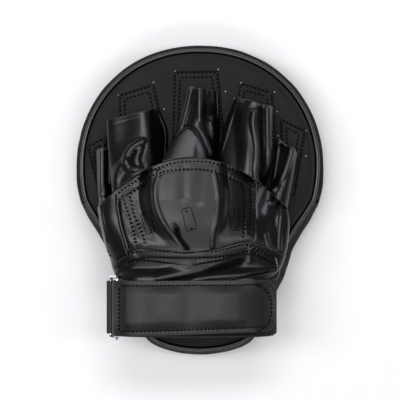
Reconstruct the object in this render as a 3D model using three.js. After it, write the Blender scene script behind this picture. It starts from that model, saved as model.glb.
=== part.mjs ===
// Focus mitt: a padded target with a five-finger glove and a wrist strap on its back.
// Millimetres, +Z up. The strike face lies on z = 0, +Y points to the fingertips,
// and +X is to the right when the glove is seen from above.
import * as THREE from 'three';
import { mergeVertices } from 'three/addons/utils/BufferGeometryUtils.js';

// Driving sizes
const PAD_LENGTH = 250;
const PAD_WIDTH = 200;
const PAD_THICKNESS = 45;
const PANEL_LEATHER = 1.6;
const STRIKE_LEATHER = 2.2;
const GLOVE_LEATHER = 1.6;
const PATCH_LEATHER = 1.2;
const STRIKE_RIM_RADIUS = 10;
const WELT_RADIUS = 1.5;
const GLOVE_RISE = 45;
const STRAP_WIDTH = 43;
const STRAP_THICKNESS = 2;
const LOOP_THICKNESS = 1.4;
const TAB_THICKNESS = 1.4;
const RING_WIRE_RADIUS = 1.6;
const RING_SIDE_ROOM = 1.2;
const SEAM_GAP = 0.3;
const STALL_SEAM_GAP = 1;
const STRAP_GAP = 0.7;

// Mesh fineness
const OUTLINE_STEPS = 64;
const OUTLINE_SAMPLES = 900;
const RIM_STEPS = 3;
const BAND_STEPS = 3;
const WELT_SIDES = 6;
const WIRE_SIDES = 8;
const SLOPE_STEP = 0.002;
const MERGE_DISTANCE = 1e-4;
const FIT_ROUNDS = 8;
const CUFF_ACROSS = 24;
const CUFF_ALONG = 12;
const HAND_ACROSS = 22;
const HAND_ALONG = 12;
const GUSSET_ACROSS = 8;
const GUSSET_ALONG = 10;

const HALF_LENGTH = PAD_LENGTH / 2;
const HALF_WIDTH = PAD_WIDTH / 2;
const PATCH_BASE = PAD_THICKNESS + SEAM_GAP;
const STALL_BASE = PATCH_BASE + PATCH_LEATHER + SEAM_GAP;
const GLOVE_BASE = PAD_THICKNESS + SEAM_GAP;

// Pad outline: a round upper part, straight tapering sides and a blunt round lower end.
// Lengths are shares of the half length, widths are shares of the half width.
const ROUND = { centre: 0.2, radius: 0.8, power: 2.1, low: -0.02 };
const LOWER_END = { start: -0.864, half: 0.45, power: 1.9 };
const TAPER_ROWS = [
  { along: -0.02, half: 0.968 },
  { along: -0.134, half: 0.89 },
  { along: -0.25, half: 0.8 },
  { along: -0.33, half: 0.745 },
  { along: -0.45, half: 0.7 },
  { along: -0.66, half: 0.573 },
  { along: -0.864, half: 0.45 },
];

// How far the back of the pad is smaller than its front, as shares of the pad thickness
const RIM_ROWS = [
  { along: -1, left: 0.1, right: 0.1 },
  { along: -0.6, left: 0.1, right: 0.11 },
  { along: -0.3, left: 0.125, right: 0.16 },
  { along: 0, left: 0.11, right: 0.12 },
  { along: 0.3, left: 0.1, right: 0.1 },
  { along: 1, left: 0.1, right: 0.1 },
];
const BAND_SEAM_ALONG = -0.045;

// Palm patches: corners across and along, as shares of the pad's half width and half length
const PATCH_ROWS = [
  { name: 'patch_thumb', tipLeft: [-0.9, 0.34], tipRight: [-0.744, 0.409],
    baseRight: [-0.728, -0.003], baseLeft: [-0.805, -0.003] },
  { name: 'patch_index', tipLeft: [-0.648, 0.668], tipRight: [-0.366, 0.741],
    baseRight: [-0.247, 0.315], baseLeft: [-0.64, 0.315] },
  { name: 'patch_middle', tipLeft: [-0.207, 0.818], tipRight: [0.146, 0.824],
    baseRight: [0.2, 0.36], baseLeft: [-0.222, 0.335] },
  { name: 'patch_ring', tipLeft: [0.318, 0.749], tipRight: [0.581, 0.687],
    baseRight: [0.61, 0.31], baseLeft: [0.23, 0.36] },
  { name: 'patch_little', tipLeft: [0.64, 0.519], tipRight: [0.843, 0.442],
    baseRight: [0.757, 0.029], baseLeft: [0.648, 0.029] },
];

// Finger stalls: each row is a section, from the open tip (share 0) to the knuckle edge (share 1).
// Columns across are shares of the half width, rise is a share of the glove's rise, and the
// shoulders are shares of that rise.
const STALLS = [
  { name: 'stall_thumb', tipLeft: 0.31, tipRight: 0.33, leftShoulder: 0.62, rightShoulder: 0.62,
    across: 10, along: 6, rows: [
    { share: 0, left: -0.82, leftTop: -0.806, crest: -0.765, rightTop: -0.722, right: -0.7, rise: 0.34 },
    { share: 0.5, left: -0.81, leftTop: -0.8, crest: -0.762, rightTop: -0.722, right: -0.7, rise: 0.35 },
    { share: 1, left: -0.79, leftTop: -0.785, crest: -0.755, rightTop: -0.722, right: -0.7, rise: 0.36 },
  ] },
  { name: 'stall_index', tipLeft: 0.52, tipRight: 0.574, leftShoulder: 0.68, rightShoulder: 0.72,
    across: 16, along: 10, rows: [
    { share: 0, left: -0.617, leftTop: -0.716, crest: -0.46, rightTop: -0.37, right: -0.338, rise: 0.62 },
    { share: 0.5, left: -0.62, leftTop: -0.7, crest: -0.455, rightTop: -0.312, right: -0.27, rise: 0.72 },
    { share: 1, left: -0.64, leftTop: -0.67, crest: -0.48, rightTop: -0.33, right: -0.275, rise: 0.8 },
  ] },
  { name: 'stall_middle', tipLeft: 0.7, tipRight: 0.69, leftShoulder: 0.93, rightShoulder: 0.72,
    across: 16, along: 10, rows: [
    { share: 0, left: -0.09, leftTop: -0.08, crest: 0, rightTop: 0.106, right: 0.137, rise: 0.62 },
    { share: 0.26, left: -0.118, leftTop: -0.113, crest: -0.01, rightTop: 0.108, right: 0.141, rise: 0.68 },
    { share: 0.5, left: -0.15, leftTop: -0.15, crest: -0.025, rightTop: 0.11, right: 0.145, rise: 0.73 },
    { share: 0.75, left: -0.19, leftTop: -0.205, crest: -0.045, rightTop: 0.09, right: 0.14, rise: 0.8 },
    { share: 1, left: -0.235, leftTop: -0.28, crest: -0.07, rightTop: 0.06, right: 0.13, rise: 0.86 },
  ] },
  { name: 'stall_ring', tipLeft: 0.637, tipRight: 0.58, leftShoulder: 0.72, rightShoulder: 0.8,
    across: 16, along: 10, rows: [
    { share: 0, left: 0.31, leftTop: 0.292, crest: 0.435, rightTop: 0.555, right: 0.565, rise: 0.62 },
    { share: 0.5, left: 0.235, leftTop: 0.2, crest: 0.4, rightTop: 0.552, right: 0.565, rise: 0.74 },
    { share: 1, left: 0.175, leftTop: 0.158, crest: 0.317, rightTop: 0.458, right: 0.505, rise: 0.82 },
  ] },
  { name: 'stall_little', tipLeft: 0.366, tipRight: 0.297, leftShoulder: 0.68, rightShoulder: 0.68,
    across: 12, along: 8, rows: [
    { share: 0, left: 0.655, leftTop: 0.625, crest: 0.69, rightTop: 0.752, right: 0.757, rise: 0.5 },
    { share: 0.5, left: 0.62, leftTop: 0.595, crest: 0.65, rightTop: 0.715, right: 0.72, rise: 0.54 },
    { share: 1, left: 0.56, leftTop: 0.56, crest: 0.615, rightTop: 0.675, right: 0.68, rise: 0.52 },
  ] },
];

// Hand and wrist sections, by their place along the pad. Columns across are shares of the half
// width. rise is a share of the glove's rise, side and seam are shares of that section's rise.
const HAND_ROWS = [
  { along: 0.26, foot: [-0.8, 0.7], sideAt: [-0.79, 0.66], seamAt: [-0.66, 0.42], crown: -0.08,
    rise: 0.86, side: 0.4, seam: 0.8 },
  { along: 0, foot: [-0.795, 0.7], sideAt: [-0.795, 0.675], seamAt: [-0.655, 0.43], crown: -0.07,
    rise: 0.92, side: 0.42, seam: 0.82 },
  { along: -0.14, foot: [-0.765, 0.68], sideAt: [-0.77, 0.69], seamAt: [-0.63, 0.43], crown: -0.06,
    rise: 0.95, side: 0.5, seam: 0.84 },
  { along: -0.28, foot: [-0.7, 0.65], sideAt: [-0.73, 0.675], seamAt: [-0.58, 0.4], crown: -0.04,
    rise: 0.92, side: 0.5, seam: 0.84 },
  { along: -0.42, foot: [-0.62, 0.585], sideAt: [-0.67, 0.62], seamAt: [-0.52, 0.38], crown: -0.03,
    rise: 0.84, side: 0.5, seam: 0.86 },
  { along: -0.49, foot: [-0.575, 0.535], sideAt: [-0.645, 0.565], seamAt: [-0.46, 0.38], crown: -0.05,
    rise: 0.93, side: 0.5, seam: 0.94 },
  { along: -0.66, foot: [-0.475, 0.439], sideAt: [-0.645, 0.565], seamAt: [-0.46, 0.38], crown: -0.05,
    rise: 0.93, side: 0.5, seam: 0.94 },
  { along: -0.85, foot: [-0.363, 0.332], sideAt: [-0.645, 0.565], seamAt: [-0.46, 0.38], crown: -0.05,
    rise: 0.93, side: 0.5, seam: 0.94 },
];
const KNUCKLE = { centre: -0.06, half: 0.78, low: -0.09, bow: 0.35, power: 2 };
const WRIST_SEAM_ROWS = [
  { across: -0.72, along: -0.42 },
  { across: -0.6, along: -0.36 },
  { across: -0.467, along: -0.3 },
  { across: -0.3, along: -0.312 },
  { across: -0.12, along: -0.328 },
  { across: 0.1, along: -0.305 },
  { across: 0.38, along: -0.258 },
  { across: 0.5, along: -0.285 },
  { across: 0.6, along: -0.325 },
  { across: 0.7, along: -0.355 },
];
const WRIST_END = -0.85;
const LEFT_SEAM = 2 / 6;
const RIGHT_SEAM = 4 / 6;
const SEAM_SHARE = 0.0022;

// Folds and dents: straight runs in plan, from one place to another, as shares of the half width
// and half length. width is a share of the half width, depth a share of the glove's rise,
// positive where the leather stands up.
const HAND_FOLDS = [
  { from: [-0.3, 0.28], to: [-0.43, 0.12], width: 0.06, depth: -0.09 },
  { from: [0.17, 0.28], to: [0.26, 0.12], width: 0.06, depth: -0.09 },
  { from: [-0.43, 0.12], to: [-0.4, -0.06], width: 0.07, depth: -0.1 },
  { from: [-0.4, -0.06], to: [-0.22, -0.27], width: 0.06, depth: -0.1 },
  { from: [0.28, 0.1], to: [0.27, -0.22], width: 0.1, depth: -0.14 },
  { from: [-0.2, -0.18], to: [-0.12, -0.3], width: 0.03, depth: -0.06 },
];
const GUSSET_FOLDS = [
  { from: [0.56, -0.02], to: [0.6, -0.3], width: 0.04, depth: -0.1 },
  { from: [-0.71, -0.02], to: [-0.66, -0.3], width: 0.04, depth: -0.07 },
];
const CUFF_FOLDS = [
  { from: [-0.36, -0.5], to: [0.34, -0.38], width: 0.05, depth: -0.12 },
];
const STALL_FOLDS = {
  stall_thumb: [],
  stall_index: [
    { from: [-0.48, 0.36], to: [-0.57, 0.25], width: 0.035, depth: -0.08 },
    { from: [-0.44, 0.44], to: [-0.56, 0.36], width: 0.035, depth: 0.05 },
  ],
  stall_middle: [
    { from: [0, 0.7], to: [-0.02, 0.5], width: 0.03, depth: 0.07 },
    { from: [0.08, 0.68], to: [0.09, 0.42], width: 0.05, depth: -0.08 },
    { from: [-0.11, 0.46], to: [-0.1, 0.3], width: 0.1, depth: 0.06 },
  ],
  stall_ring: [
    { from: [0.41, 0.6], to: [0.4, 0.2], width: 0.03, depth: 0.06 },
    { from: [0.48, 0.6], to: [0.46, 0.2], width: 0.03, depth: -0.06 },
  ],
  stall_little: [
    { from: [0.68, 0.3], to: [0.64, 0.05], width: 0.03, depth: -0.08 },
  ],
};

// Strap: places round the wrist section run from 0 at the left foot to 1 at the right foot
const STRAP_ALONG = -0.672;
const STRAP_TURN = 0.24;
const STRAP_RETURN = 0.285;
const STRAP_TIP = 0.79;
const STRAP_TIP_WIDTH_SHARE = 0.93;
const STRAP_TIP_SHIFT = 2.2;
const STRAP_TIP_ROUND = 0.06;
const STRAP_LIFT_RUN = 0.13;
const LOOP_START_STEP = 7;
const LOOP_END_STEP = 23;
const LOOP_FLARE = { start: 0.72, upper: 0.24, lower: -0.1 };
const TAB_START_STEP = 1;
const TAB_TURN_STEP = 4;
const TAB_WIDTH_SHARE = 0.96;

// Numbers between rows of a table
function mix(a, b, share) {
  return a + (b - a) * share;
}

function clamp01(value) {
  return Math.min(1, Math.max(0, value));
}

function easeInOut(value) {
  const t = clamp01(value);
  return t * t * (3 - 2 * t);
}

// Slope at a value between two steps: none at a turning point, and never an overshoot
function gentleSlope(stepBefore, stepAfter) {
  const product = stepBefore * stepAfter;
  return product > 0 ? (2 * product) / (stepBefore + stepAfter) : 0;
}

// A smooth curve through evenly spaced values, at a place from 0 to the last one
function smooth(values, place) {
  const last = values.length - 1;
  const index = Math.min(last - 1, Math.max(0, Math.floor(place)));
  const t = place - index;
  const here = values[index];
  const next = values[index + 1];
  const step = next - here;
  const slopeHere = index > 0 ? gentleSlope(here - values[index - 1], step) : step;
  const slopeNext = index + 2 <= last ? gentleSlope(step, values[index + 2] - next) : step;
  const t2 = t * t;
  const t3 = t2 * t;
  const start = (2 * t3 - 3 * t2 + 1) * here + (t3 - 2 * t2 + t) * slopeHere;
  const finish = (3 * t2 - 2 * t3) * next + (t3 - t2) * slopeNext;
  return start + finish;
}

// The place of a value among the rows of a table, as a row number with a fraction
function rowPlace(rows, column, value) {
  const rising = rows[rows.length - 1][column] > rows[0][column];
  for (let i = 0; i < rows.length - 1; i += 1) {
    const a = rows[i][column];
    const b = rows[i + 1][column];
    const inside = rising ? value <= b : value >= b;
    if (inside) {
      return i + clamp01((value - a) / (b - a));
    }
  }
  return rows.length - 1;
}

function rowValue(rows, pick, place) {
  return smooth(rows.map(pick), place);
}

// Half width of the pad at a place along it, both as shares
function outlineHalf(along) {
  if (along > ROUND.low) {
    const reach = Math.abs(along - ROUND.centre) / ROUND.radius;
    return Math.pow(Math.max(0, 1 - Math.pow(reach, ROUND.power)), 1 / ROUND.power);
  }
  if (along > LOWER_END.start) {
    const place = rowPlace(TAPER_ROWS, 'along', along);
    return rowValue(TAPER_ROWS, (row) => row.half, place);
  }
  const reach = (LOWER_END.start - along) / (LOWER_END.start + 1);
  const width = Math.pow(Math.max(0, 1 - Math.pow(reach, LOWER_END.power)), 1 / LOWER_END.power);
  return LOWER_END.half * width;
}

// The pad outline as evenly spaced points with outward directions, from the lower end's middle
// up the right side, over the top and down the left side
function makeOutline(count) {
  const side = [];
  for (let i = 0; i <= OUTLINE_SAMPLES; i += 1) {
    const along = -Math.cos((Math.PI * i) / OUTLINE_SAMPLES);
    side.push(new THREE.Vector2(outlineHalf(along) * HALF_WIDTH, along * HALF_LENGTH));
  }
  const mirrored = side.slice(1, -1).reverse().map((p) => new THREE.Vector2(-p.x, p.y));
  const loop = side.concat(mirrored);
  loop.push(loop[0].clone());
  const lengths = [0];
  for (let i = 1; i < loop.length; i += 1) {
    lengths.push(lengths[i - 1] + loop[i].distanceTo(loop[i - 1]));
  }
  const total = lengths[lengths.length - 1];
  const points = [];
  let index = 0;
  for (let i = 0; i < count; i += 1) {
    const target = (total * i) / count;
    while (lengths[index + 1] < target) {
      index += 1;
    }
    const share = (target - lengths[index]) / (lengths[index + 1] - lengths[index]);
    points.push(loop[index].clone().lerp(loop[index + 1], share));
  }
  return points.map((point, i) => {
    const before = points[(i + count - 1) % count];
    const after = points[(i + 1) % count];
    const run = after.clone().sub(before).normalize();
    return { point, out: new THREE.Vector2(run.y, -run.x) };
  });
}

const OUTLINE = makeOutline(OUTLINE_STEPS);

// How far in from the front outline the back edge lies at an outline point
function backInset(point) {
  const place = rowPlace(RIM_ROWS, 'along', point.y / HALF_LENGTH);
  const left = rowValue(RIM_ROWS, (row) => row.left, place);
  const right = rowValue(RIM_ROWS, (row) => row.right, place);
  const toRight = easeInOut(0.5 + point.x / PAD_WIDTH);
  return mix(left, right, toRight) * PAD_THICKNESS;
}

// An outline point moved inwards, at a height
function insetPoint(spot, inset, height) {
  const x = spot.point.x - spot.out.x * inset;
  const y = spot.point.y - spot.out.y * inset;
  return new THREE.Vector3(x, y, height);
}

function geometryFrom(points, faces) {
  const geometry = new THREE.BufferGeometry();
  const flat = points.flatMap((p) => [p.x, p.y, p.z]);
  geometry.setAttribute('position', new THREE.Float32BufferAttribute(flat, 3));
  geometry.setIndex(faces.flat());
  return geometry;
}

// A closed solid through rings of points: the first and last rings are capped, or joined to
// each other where the rings go round a hole
function solidThroughRings(rings, joined) {
  const count = rings[0].length;
  const points = rings.flat();
  const faces = [];
  const spans = joined ? rings.length : rings.length - 1;
  for (let r = 0; r < spans; r += 1) {
    const low = r * count;
    const high = ((r + 1) % rings.length) * count;
    for (let i = 0; i < count; i += 1) {
      const j = (i + 1) % count;
      faces.push([low + i, low + j, high + j]);
      faces.push([low + i, high + j, high + i]);
    }
  }
  if (!joined) {
    const lastRing = (rings.length - 1) * count;
    const outline = rings[0].map((p) => new THREE.Vector2(p.x, p.y));
    const bottom = THREE.ShapeUtils.triangulateShape(outline, []);
    bottom.forEach(([a, b, c]) => faces.push([a, c, b]));
    const lid = rings[rings.length - 1].map((p) => new THREE.Vector2(p.x, p.y));
    const top = THREE.ShapeUtils.triangulateShape(lid, []);
    top.forEach(([a, b, c]) => faces.push([lastRing + a, lastRing + b, lastRing + c]));
  }
  return geometryFrom(points, faces);
}

function rimRing(insetAt, height) {
  return OUTLINE.map((spot) => insetPoint(spot, insetAt(spot.point), height));
}

// Strike face: flat, with a rim turned up in a quarter round, made as a dish of even thickness
function strikePanelGeometry() {
  const rings = [];
  for (let i = 0; i <= RIM_STEPS; i += 1) {
    const angle = (Math.PI / 2) * (i / RIM_STEPS);
    const inset = STRIKE_RIM_RADIUS * (1 - Math.sin(angle));
    const height = STRIKE_RIM_RADIUS * (1 - Math.cos(angle));
    rings.push(rimRing(() => inset, height));
  }
  const innerRadius = STRIKE_RIM_RADIUS - STRIKE_LEATHER;
  for (let i = RIM_STEPS; i >= 0; i -= 1) {
    const angle = (Math.PI / 2) * (i / RIM_STEPS);
    const inset = STRIKE_RIM_RADIUS - innerRadius * Math.sin(angle);
    const height = STRIKE_RIM_RADIUS - innerRadius * Math.cos(angle);
    rings.push(rimRing(() => inset, height));
  }
  return solidThroughRings(rings, false);
}

const BAND_LOW = STRIKE_RIM_RADIUS + SEAM_GAP;
const WELT_HEIGHT = PAD_THICKNESS - WELT_RADIUS;
const BAND_HIGH = WELT_HEIGHT - WELT_RADIUS - SEAM_GAP;

// Outer wall of the pad at a share of the band's height
function wallInset(point, share) {
  return backInset(point) * easeInOut(share);
}

// Foam block inside the leather
function foamCoreGeometry() {
  const clear = STRIKE_LEATHER + SEAM_GAP;
  const wall = Math.max(PANEL_LEATHER, STRIKE_LEATHER) + SEAM_GAP;
  const radius = STRIKE_RIM_RADIUS - clear;
  const rings = [];
  for (let i = 0; i <= RIM_STEPS; i += 1) {
    const angle = (Math.PI / 2) * (i / RIM_STEPS);
    const inset = STRIKE_RIM_RADIUS - radius * Math.sin(angle);
    const height = STRIKE_RIM_RADIUS - radius * Math.cos(angle);
    rings.push(rimRing(() => inset, height));
  }
  for (let i = 1; i <= BAND_STEPS; i += 1) {
    const height = mix(BAND_LOW, BAND_HIGH - WELT_RADIUS * 2, i / BAND_STEPS);
    const share = (height - BAND_LOW) / (BAND_HIGH - BAND_LOW);
    rings.push(rimRing((point) => wallInset(point, share) + wall, height));
  }
  const topHeight = PAD_THICKNESS - PANEL_LEATHER - SEAM_GAP;
  rings.push(rimRing((point) => backInset(point) + wall + WELT_RADIUS * 2, topHeight));
  return solidThroughRings(rings, false);
}

// A wall of even thickness over a surface: surface(s, w) gives a point for s across and w along,
// both from 0 to 1, and inner and outer are distances from it, towards its outer side
function wallOver(surface, across, along, inner, outer, floor) {
  const points = [];
  const shares = typeof across === 'number'
    ? Array.from({ length: across + 1 }, (_, i) => i / across)
    : across;
  const columns = shares.length;
  for (const distance of [inner, outer]) {
    for (let j = 0; j <= along; j += 1) {
      for (const s of shares) {
        const w = j / along;
        const point = surface(s, w);
        const stepS = surface(s + SLOPE_STEP, w).sub(surface(s - SLOPE_STEP, w));
        const stepW = surface(s, w + SLOPE_STEP).sub(surface(s, w - SLOPE_STEP));
        const out = stepW.cross(stepS).normalize();
        point.addScaledVector(out, distance);
        point.z = Math.max(point.z, floor);
        points.push(point);
      }
    }
  }
  const layer = columns * (along + 1);
  const at = (side, i, j) => side * layer + j * columns + i;
  const faces = [];
  const quad = (a, b, c, d) => faces.push([a, b, c], [a, c, d]);
  for (let j = 0; j < along; j += 1) {
    for (let i = 0; i < columns - 1; i += 1) {
      quad(at(1, i, j), at(1, i, j + 1), at(1, i + 1, j + 1), at(1, i + 1, j));
      quad(at(0, i, j), at(0, i + 1, j), at(0, i + 1, j + 1), at(0, i, j + 1));
    }
  }
  for (let j = 0; j < along; j += 1) {
    const right = columns - 1;
    quad(at(0, 0, j), at(0, 0, j + 1), at(1, 0, j + 1), at(1, 0, j));
    quad(at(1, right, j), at(1, right, j + 1), at(0, right, j + 1), at(0, right, j));
  }
  for (let i = 0; i < columns - 1; i += 1) {
    quad(at(0, i + 1, 0), at(0, i, 0), at(1, i, 0), at(1, i + 1, 0));
    quad(at(0, i, along), at(0, i + 1, along), at(1, i + 1, along), at(1, i, along));
  }
  return geometryFrom(points, faces);
}

// A place on the outline between its points, counted in outline steps
function outlineSpot(place) {
  const whole = Math.floor(place);
  const share = place - whole;
  const a = OUTLINE[(whole + OUTLINE_STEPS) % OUTLINE_STEPS];
  const b = OUTLINE[(whole + 1 + OUTLINE_STEPS) % OUTLINE_STEPS];
  const point = a.point.clone().lerp(b.point, share);
  const out = a.out.clone().lerp(b.out, share).normalize();
  return { point, out };
}

// Outline step nearest to the seam between the upper and lower bands, on the right side
function bandSeamPlace() {
  const height = BAND_SEAM_ALONG * HALF_LENGTH;
  return OUTLINE.findIndex((spot) => spot.point.x > 0 && spot.point.y > height);
}

const BAND_SEAM = bandSeamPlace();

function sideBandGeometry(start, finish) {
  const steps = Math.round(finish - start);
  const trim = SEAM_GAP / PAD_WIDTH;
  const surface = (s, w) => {
    const spot = outlineSpot(mix(start + trim, finish - trim, s));
    const height = mix(BAND_HIGH, BAND_LOW, w);
    return insetPoint(spot, wallInset(spot.point, 1 - w) + PANEL_LEATHER, height);
  };
  return wallOver(surface, steps, BAND_STEPS, 0, PANEL_LEATHER, 0);
}

// A closed ring of wire or cord through a loop of points, with a frame in a fixed plane
function closedTube(path, planeNormal, radius, sides) {
  const count = path.length;
  const rings = path.map((point, i) => {
    const before = path[(i + count - 1) % count];
    const after = path[(i + 1) % count];
    const run = after.clone().sub(before).normalize();
    const aside = run.clone().cross(planeNormal).normalize();
    return Array.from({ length: sides }, (_, k) => {
      const angle = (Math.PI * 2 * k) / sides;
      const spot = point.clone();
      spot.addScaledVector(aside, Math.cos(angle) * radius);
      spot.addScaledVector(planeNormal, -Math.sin(angle) * radius);
      return spot;
    });
  });
  return solidThroughRings(rings, true);
}

function backWeltGeometry() {
  const path = OUTLINE.map((spot) => insetPoint(spot, backInset(spot.point) + WELT_RADIUS, WELT_HEIGHT));
  return closedTube(path, new THREE.Vector3(0, 0, 1), WELT_RADIUS, WELT_SIDES);
}

function backPanelGeometry() {
  const inset = (point) => backInset(point) + WELT_RADIUS * 2 + SEAM_GAP;
  const low = rimRing(inset, PAD_THICKNESS - PANEL_LEATHER);
  const high = rimRing(inset, PAD_THICKNESS);
  return solidThroughRings([low, high], false);
}

// A thin plate with straight sides
function patchGeometry(row) {
  const corners = [row.baseLeft, row.baseRight, row.tipRight, row.tipLeft];
  const outline = corners.map(([u, v]) => new THREE.Vector2(u * HALF_WIDTH, v * HALF_LENGTH));
  const shape = new THREE.Shape(outline);
  const geometry = new THREE.ExtrudeGeometry(shape, { depth: PATCH_LEATHER, bevelEnabled: false });
  geometry.translate(0, 0, PATCH_BASE);
  return geometry;
}

// A bowed edge line: its place along the pad for a place across it, both as shares
function bowedEdge(edge, across) {
  const reach = Math.abs(across - edge.centre) / edge.half;
  return edge.low + edge.bow * (1 - Math.pow(reach, edge.power));
}

// Height added by a list of folds at a plan point
function foldHeight(folds, x, y) {
  let height = 0;
  for (const fold of folds) {
    const start = new THREE.Vector2(fold.from[0] * HALF_WIDTH, fold.from[1] * HALF_LENGTH);
    const end = new THREE.Vector2(fold.to[0] * HALF_WIDTH, fold.to[1] * HALF_LENGTH);
    const run = end.clone().sub(start);
    const spot = new THREE.Vector2(x, y).sub(start);
    const share = clamp01(spot.dot(run) / run.lengthSq());
    const distance = spot.sub(run.multiplyScalar(share)).length();
    const reach = distance / (fold.width * HALF_WIDTH);
    height += fold.depth * GLOVE_RISE * Math.exp(-reach * reach);
  }
  return height;
}

// Folds fade out towards the feet of a wall
function withFolds(x, y, rise, base, folds) {
  const held = easeInOut(rise / (GLOVE_RISE / 2));
  return new THREE.Vector3(x, y, base + rise + foldHeight(folds, x, y) * held);
}

// Finger stall surface: five stations across each section
function stallSurface(stall) {
  const tipAt = (u) => {
    const first = stall.rows[0];
    return mix(stall.tipLeft, stall.tipRight, (u - first.left) / (first.right - first.left));
  };
  const stations = ['left', 'leftTop', 'crest', 'rightTop', 'right'];
  const rises = [0, stall.leftShoulder, 1, stall.rightShoulder, 0];
  return (s, w) => {
    const place = rowPlace(stall.rows, 'share', w);
    const acrossAt = stations.map((name) => rowValue(stall.rows, (row) => row[name], place));
    const rise = rowValue(stall.rows, (row) => row.rise, place) * GLOVE_RISE;
    const u = smooth(acrossAt, s * (stations.length - 1));
    const height = Math.max(0, smooth(rises, s * (stations.length - 1))) * rise;
    const tip = tipAt(u) * HALF_LENGTH;
    const base = bowedEdge(KNUCKLE, u) * HALF_LENGTH + STALL_SEAM_GAP;
    return withFolds(u * HALF_WIDTH, mix(tip, base, w), height, STALL_BASE, STALL_FOLDS[stall.name]);
  };
}

function stallGeometry(stall) {
  return wallOver(stallSurface(stall), stall.across, stall.along, 0, GLOVE_LEATHER, STALL_BASE);
}

// Hand and wrist section at a place along the pad: seven stations across
function handSection(along) {
  const place = rowPlace(HAND_ROWS, 'along', along);
  const value = (pick) => rowValue(HAND_ROWS, pick, place);
  const across = [
    value((row) => row.foot[0]),
    value((row) => row.sideAt[0]),
    value((row) => row.seamAt[0]),
    value((row) => row.crown),
    value((row) => row.seamAt[1]),
    value((row) => row.sideAt[1]),
    value((row) => row.foot[1]),
  ];
  const rise = value((row) => row.rise) * GLOVE_RISE;
  const side = value((row) => row.side);
  const seam = value((row) => row.seam);
  const heights = [0, side, seam, 1, seam, side, 0].map((share) => share * rise);
  return { across, heights };
}

function handPoint(s, along, folds) {
  const section = handSection(along);
  const place = s * (section.across.length - 1);
  const x = smooth(section.across, place) * HALF_WIDTH;
  const rise = Math.max(0, smooth(section.heights, place));
  return withFolds(x, along * HALF_LENGTH, rise, GLOVE_BASE, folds);
}

// A surface on the hand between two edge lines; each edge gives its place along for one across
function handSurface(upperEdge, lowerEdge, left, right, folds) {
  return (s, w) => {
    const place = mix(left, right, s);
    let along = mix(upperEdge(0), lowerEdge(0), w);
    for (let i = 0; i < FIT_ROUNDS; i += 1) {
      const u = handPoint(place, along, []).x / HALF_WIDTH;
      along = mix(upperEdge(u), lowerEdge(u), w);
    }
    return handPoint(place, along, folds);
  };
}

const knuckleEdge = (u) => bowedEdge(KNUCKLE, u);
const wristSeamPlace = (u) => rowPlace(WRIST_SEAM_ROWS, 'across', u);
const wristSeam = (u) => rowValue(WRIST_SEAM_ROWS, (row) => row.along, wristSeamPlace(u));
const wristEdgeAbove = (u) => wristSeam(u) + SEAM_GAP / HALF_LENGTH;
const wristEdgeBelow = (u) => wristSeam(u) - SEAM_GAP / HALF_LENGTH;
const wristEndEdge = () => WRIST_END;

function handPieceGeometry(left, right, across, along, folds) {
  const surface = handSurface(knuckleEdge, wristEdgeAbove, left, right, folds);
  return wallOver(surface, across, along, 0, GLOVE_LEATHER, GLOVE_BASE);
}

function handBackGeometry() {
  return handPieceGeometry(LEFT_SEAM, RIGHT_SEAM, HAND_ACROSS, HAND_ALONG, HAND_FOLDS);
}

function gussetGeometry(left, right) {
  return handPieceGeometry(left, right, GUSSET_ACROSS, GUSSET_ALONG, GUSSET_FOLDS);
}

function wristCuffGeometry() {
  const surface = handSurface(wristEdgeBelow, wristEndEdge, 0, 1, CUFF_FOLDS);
  return wallOver(surface, CUFF_ACROSS, CUFF_ALONG, 0, GLOVE_LEATHER, GLOVE_BASE);
}

// Strap layers follow the wrist section at a distance from the cuff's inner side
function wristFrame(place, y) {
  const along = y / HALF_LENGTH;
  const point = handPoint(place, along, []);
  const run = handPoint(place + SLOPE_STEP, along, []).sub(handPoint(place - SLOPE_STEP, along, []));
  run.y = 0;
  run.normalize();
  const out = new THREE.Vector3(-run.z, 0, run.x);
  return { point, run, out };
}

function offWrist(place, y, distance) {
  const frame = wristFrame(place, y);
  return frame.point.addScaledVector(frame.out, distance);
}

const LOOP_INNER = GLOVE_LEATHER + STRAP_GAP;
const STRAP_RETURN_OFFSET = LOOP_INNER + STRAP_THICKNESS / 2;
const STRAP_TURN_RADIUS = RING_WIRE_RADIUS + SEAM_GAP + STRAP_THICKNESS / 2;
const RING_OFFSET = STRAP_RETURN_OFFSET + STRAP_TURN_RADIUS;
const STRAP_OFFSET = LOOP_INNER + LOOP_THICKNESS + STRAP_GAP + STRAP_THICKNESS / 2;
const TAB_OFFSET = LOOP_INNER + TAB_THICKNESS / 2;
const TAB_TURN_RADIUS = RING_WIRE_RADIUS + SEAM_GAP + TAB_THICKNESS / 2;
const TAB_OUTER_OFFSET = TAB_OFFSET + TAB_THICKNESS + SEAM_GAP;
const STRAP_LIFT = RING_OFFSET + STRAP_TURN_RADIUS - STRAP_OFFSET;
const STRAP_MIDDLE = STRAP_ALONG * HALF_LENGTH;
const TAB_START = TAB_START_STEP / CUFF_ACROSS;
const TAB_TURN = TAB_TURN_STEP / CUFF_ACROSS;

// Path of the folded strap at one place along: the short return, the turn round the ring's
// wire, and the long run over the wrist to the rounded tip
const RETURN_PART = 0.08;
const TURN_PART = 0.24;
const TURN_STEPS = 6;
const RUN_STEPS = 16;
const TIP_STEPS = 4;
const TIP_BLUNT = 0.3;
const STRAP_ALONG_STEPS = 4;

// Half turn round a wire: from the side nearest the wrist to the far side
function wireTurn(frame, centreOffset, radius, share, towards) {
  const angle = Math.PI * share;
  const point = frame.point.clone().addScaledVector(frame.out, centreOffset);
  point.addScaledVector(frame.out, -Math.cos(angle) * radius);
  return point.addScaledVector(frame.run, Math.sin(angle) * radius * towards);
}

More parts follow.
